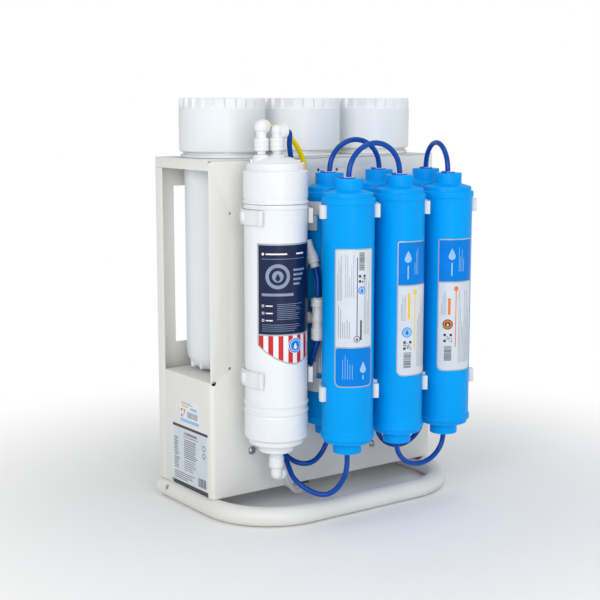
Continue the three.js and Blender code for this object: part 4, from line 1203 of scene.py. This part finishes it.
def ruled_label(number, offset, z0, split, z1, accent, badge, low, square, bars, drop, side, seeds):
    """Label with a coloured rule, a round badge and a chequer block in its foil field."""
    art = filter_base(f"filter_front_{number}", offset, z0, z1)
    foil_and_sky(art, z0, split, z1)
    art.patch(22.4, 23.6, z0 + 30, split - 12, 2, accent)
    art.disc(23, split - 9, 3.0, 2, accent)
    art.lines_up(13, 17.5, low, split - 10, 5.6, 2, accent, 3.2, seeds[0])
    art.lines_up(5, 11, 244, split - 12, 1.6, 2, MID, 0.45, seeds[1])
    art.badge(*badge)
    art.chequer(8.0, square, 1.05, 10, 2, INK, seeds[2])
    art.bars(bars, 18, 187, 206, 2, INK, seeds[3], across=True)
    art.lines_up(27, 46, z0 + 10, split - 12, 2.1, 2, MID, 0.5, seeds[4])
    u, z = drop
    art.drop(u, z, 4.4, 2, PALE)
    art.patch(u - 0.8, u + 0.8, split + 7, z - 8, 2, PALE)
    art.lines_up(*side, split + 12, z1 - 8, 2.2, 2, PALE, 0.5, seeds[5])
    art.place_on(f"label_filter_{number}")


def back_labels():
    for index, offset in ((1, -36), (2, 60), (3, -10)):
        z0, split, z1 = 176, 259.6, 306
        art = filter_base(f"filter_back_{index}", offset, z0, z1)
        foil_and_sky(art, z0, split, z1)
        art.lines_up(5, 44, z0 + 8, 252, 2.6, 2, MID, 0.6, 1.0 + index)
        art.place_on(f"label_filter_back_{index}")


def membrane_label():
    art = Artwork(on_barrel("membrane_housing", HOUSING_R, -34))
    wide = HOUSING_R * radians(142)
    low, high = 233, 341
    mid = wide * 0.5

    def shield(u, inset):
        return low - 11 - 23 * (1 - (abs(u - mid) / mid) ** 1.7) + inset

    art.slab([(u, shield(u, 0), high) for u in art.grid(0, wide)], 0, SILVER)
    art.slab([(u, 235.4, high - 2) for u in art.grid(1.8, wide - 1.8)], 1, NAVY)
    stripes = 15
    edge0, edge1 = 1.8, wide - 1.8
    for k in range(stripes):
        a = edge0 + (edge1 - edge0) * k / stripes
        b = edge0 + (edge1 - edge0) * (k + 1) / stripes
        cols = [(a + (b - a) * j / 4, shield(a + (b - a) * j / 4, 1.8), 233.6) for j in range(5)]
        art.slab(cols, 1, PAPER if k % 2 else RED)
    art.patch(6, 9, 327.4, 330.4, 2, PAPER, (1, 1, 1, 1))
    art.patch(11, 36, 328.0, 329.8, 2, PAPER)
    art.patch(6, 62, 323.0, 323.5, 2, STEEL)
    art.patch(48, 60, 328.0, 329.8, 2, PAPER)
    art.badge(25, 303, ((14.5, STEEL), (10.4, NAVY), (6.6, STEEL)), 2.4, 2.8, NAVY)
    for k in range(4):
        art.patch(44, 62 - 3 * k, 309 - 5.4 * k, 311.4 - 5.4 * k, 2, STEEL)
    art.patch(6, 44, 280.2, 283.4, 2, STEEL)
    for k in range(3):
        z = 270 - k * 8.5
        art.patch(6, 8.8, z - 2.6, z + 0.2, 2, PAPER)
        art.patch(6.6, 8.2, z - 2.0, z - 0.4, 3, NAVY)
        art.patch(10.8, 19, z - 1.9, z - 0.5, 2, PAPER)
    art.lines_across(24, 60, 252, 271, 2.2, 2, STEEL, 0.5, 2.4)
    art.lines_across(6, 56, 238, 247, 2.4, 2, STEEL, 0.5, 5.4)
    art.badge(46.5, 221.5, ((9.2, PAPER), (8.5, SKY), (6.9, PAPER), (6.2, SKY)), 1.9, 2.3, PAPER)
    art.place_on("label_membrane")


def box_labels():
    art = Artwork(on_side(91.8), 100)
    wide, z0, z1 = 83, 24.6, 103
    art.patch(0, wide, z0, z1, 0, PAPER, (1, 1, 1, 1))
    art.patch(0.8, wide - 0.8, z0 + 0.8, z1 - 0.8, 1, FOIL, (1, 1, 1, 1))
    art.patch(0, wide, z1 - 3.4, z1, 2, INK)
    art.patch(0, wide, z0, z0 + 5.6, 2, INK)
    art.drop(28, z1 - 10, 1.5, 2, MID)
    art.patch(31, 58, z1 - 11, z1 - 7.6, 2, MID)
    art.patch(26, 60, z1 - 14, z1 - 12.8, 2, MID)
    art.lines_across(3, 15, 62, z1 - 17, 2.5, 2, INK, 0.9, 1.3)
    art.lines_across(3, 18, 45, 60, 2.5, 2, INK, 0.9, 6.3)
    art.lines_across(27, 62, 62, z1 - 17, 2.5, 2, INK, 0.9, 3.9)
    art.lines_across(27, 56, 45, 60, 2.5, 2, MID, 0.9, 8.9)
    art.lines_across(3, 52, z0 + 8, 42, 2.6, 2, INK, 0.8, 5.9)
    for z in (84, 74.5):
        art.badge(74, z, ((3.6, INK), (2.6, FOIL)))
    art.bars(60, 79, z0 + 9, z0 + 20, 2, INK, 2.7)
    art.place_on("label_ratings")

    art = Artwork(on_side(73.5), 100)
    art.patch(0, 45, 108, 135, 0, PAPER, (1, 1, 1, 1))
    art.patch(0.8, 44.2, 108.4, 112.6, 1, PALE)
    art.chequer(2, 114.5, 1.15, 9, 1, MID, 4.1)
    art.bars(17, 42, 115, 123, 1, MID, 3.7)
    art.patch(4, 20, 127.5, 129.5, 1, YELLOW)
    art.patch(24, 40, 125.5, 129.0, 1, PALE)
    art.lines_across(3, 40, 131, 133.6, 1.8, 1, MID, 0.7, 2.7)
    art.place_on("label_inspection")


label_one()
ruled_label(2, -7, 177, 287, 339, YELLOW, (12.5, 230, ((6.2, SKY), (5.4, PALE)), 1, 2.0, SKY), 246, 209,
            8.5, (13, 318), (22, 28), (4.4, 2.1, 7.7, 5.4, 8.2, 9.1))
ruled_label(3, -25, 174, 285, 337, ORANGE,
            (13, 232, ((6.4, INK), (5.2, ORANGE), (3.6, INK)), 1, 1.5, YELLOW), 244, 210,
            9, (17, 316), (26, 33), (3.4, 5.1, 1.7, 9.4, 4.2, 6.1))
back_labels()
membrane_label()
box_labels()


# ---- floor and light --------------------------------------------------------------------------
def floor_material():
    """Matt white that turns into the plain white backdrop further out."""
    material = surface("floor_white", (0.9, 0.9, 0.9), 0.7, 60, 0.00002, 3, 0.01, 0.05, specular=0.1)
    tree = material.node_tree
    link = tree.links.new
    far = add_node(tree, "VectorMath")
    far.operation = "LENGTH"
    link(add_node(tree, "TexCoord").outputs["Object"], far.inputs[0])
    fade = add_node(tree, "MapRange", From_Min=0.25, From_Max=0.75)
    fade.interpolation_type = "SMOOTHSTEP"
    link(far.outputs["Value"], fade.inputs["Value"])
    mix = add_node(tree, "MixShader")
    link(fade.outputs["Result"], mix.inputs["Fac"])
    link(tree.nodes["Principled BSDF"].outputs["BSDF"], mix.inputs[1])
    link(add_node(tree, "Emission", Strength=1.0).outputs["Emission"], mix.inputs[2])
    link(mix.outputs["Shader"], tree.nodes["Material Output"].inputs["Surface"])
    return material


def staged(name, bm, material):
    mesh = mesh_from(name, bm)
    mesh.materials.append(material)
    return linked(name, mesh)


def stage():
    bm = bmesh.new()
    bmesh.ops.create_circle(bm, cap_ends=True, radius=10, segments=96)
    floor = staged("floor", bm, floor_material())
    floor.location.z = -0.0002
    white = bpy.data.materials.new("backdrop_white")
    white.use_nodes = True
    tree = white.node_tree
    glow = add_node(tree, "Emission").outputs["Emission"]
    tree.links.new(glow, tree.nodes["Material Output"].inputs["Surface"])
    bm = bmesh.new()
    bmesh.ops.create_uvsphere(bm, u_segments=48, v_segments=24, radius=11)
    backdrop = staged("backdrop", bm, white)
    for ray in ("diffuse", "glossy", "transmission", "volume_scatter", "shadow"):
        setattr(backdrop, "visible_" + ray, False)
    world = bpy.data.worlds.new("studio")
    world.use_nodes = True
    background = world.node_tree.nodes["Background"]
    background.inputs["Color"].default_value = (0.97, 0.985, 1, 1)
    background.inputs["Strength"].default_value = WORLD
    scene.world = world
    scene.view_settings.view_transform = "Standard"
    aim_at = Vector((0, 0, 0.22))
    for name, place, size, watts in LIGHTS:
        data = bpy.data.lights.new(name, "AREA")
        data.shape = "DISK"
        data.size = size
        data.energy = watts
        light = linked(name, data)
        light.location = place
        light.rotation_mode = "QUATERNION"
        light.rotation_quaternion = (aim_at - Vector(place)).to_track_quat("-Z", "Y")


WORLD = 0.55
LIGHTS = (
    ("key", (-2.3, -1.5, 1.5), 1.3, 23),
    ("front", (-1.0, -2.5, 0.9), 1.6, 19),
    ("top", (0.3, -0.5, 2.4), 1.6, 10),
)
stage()
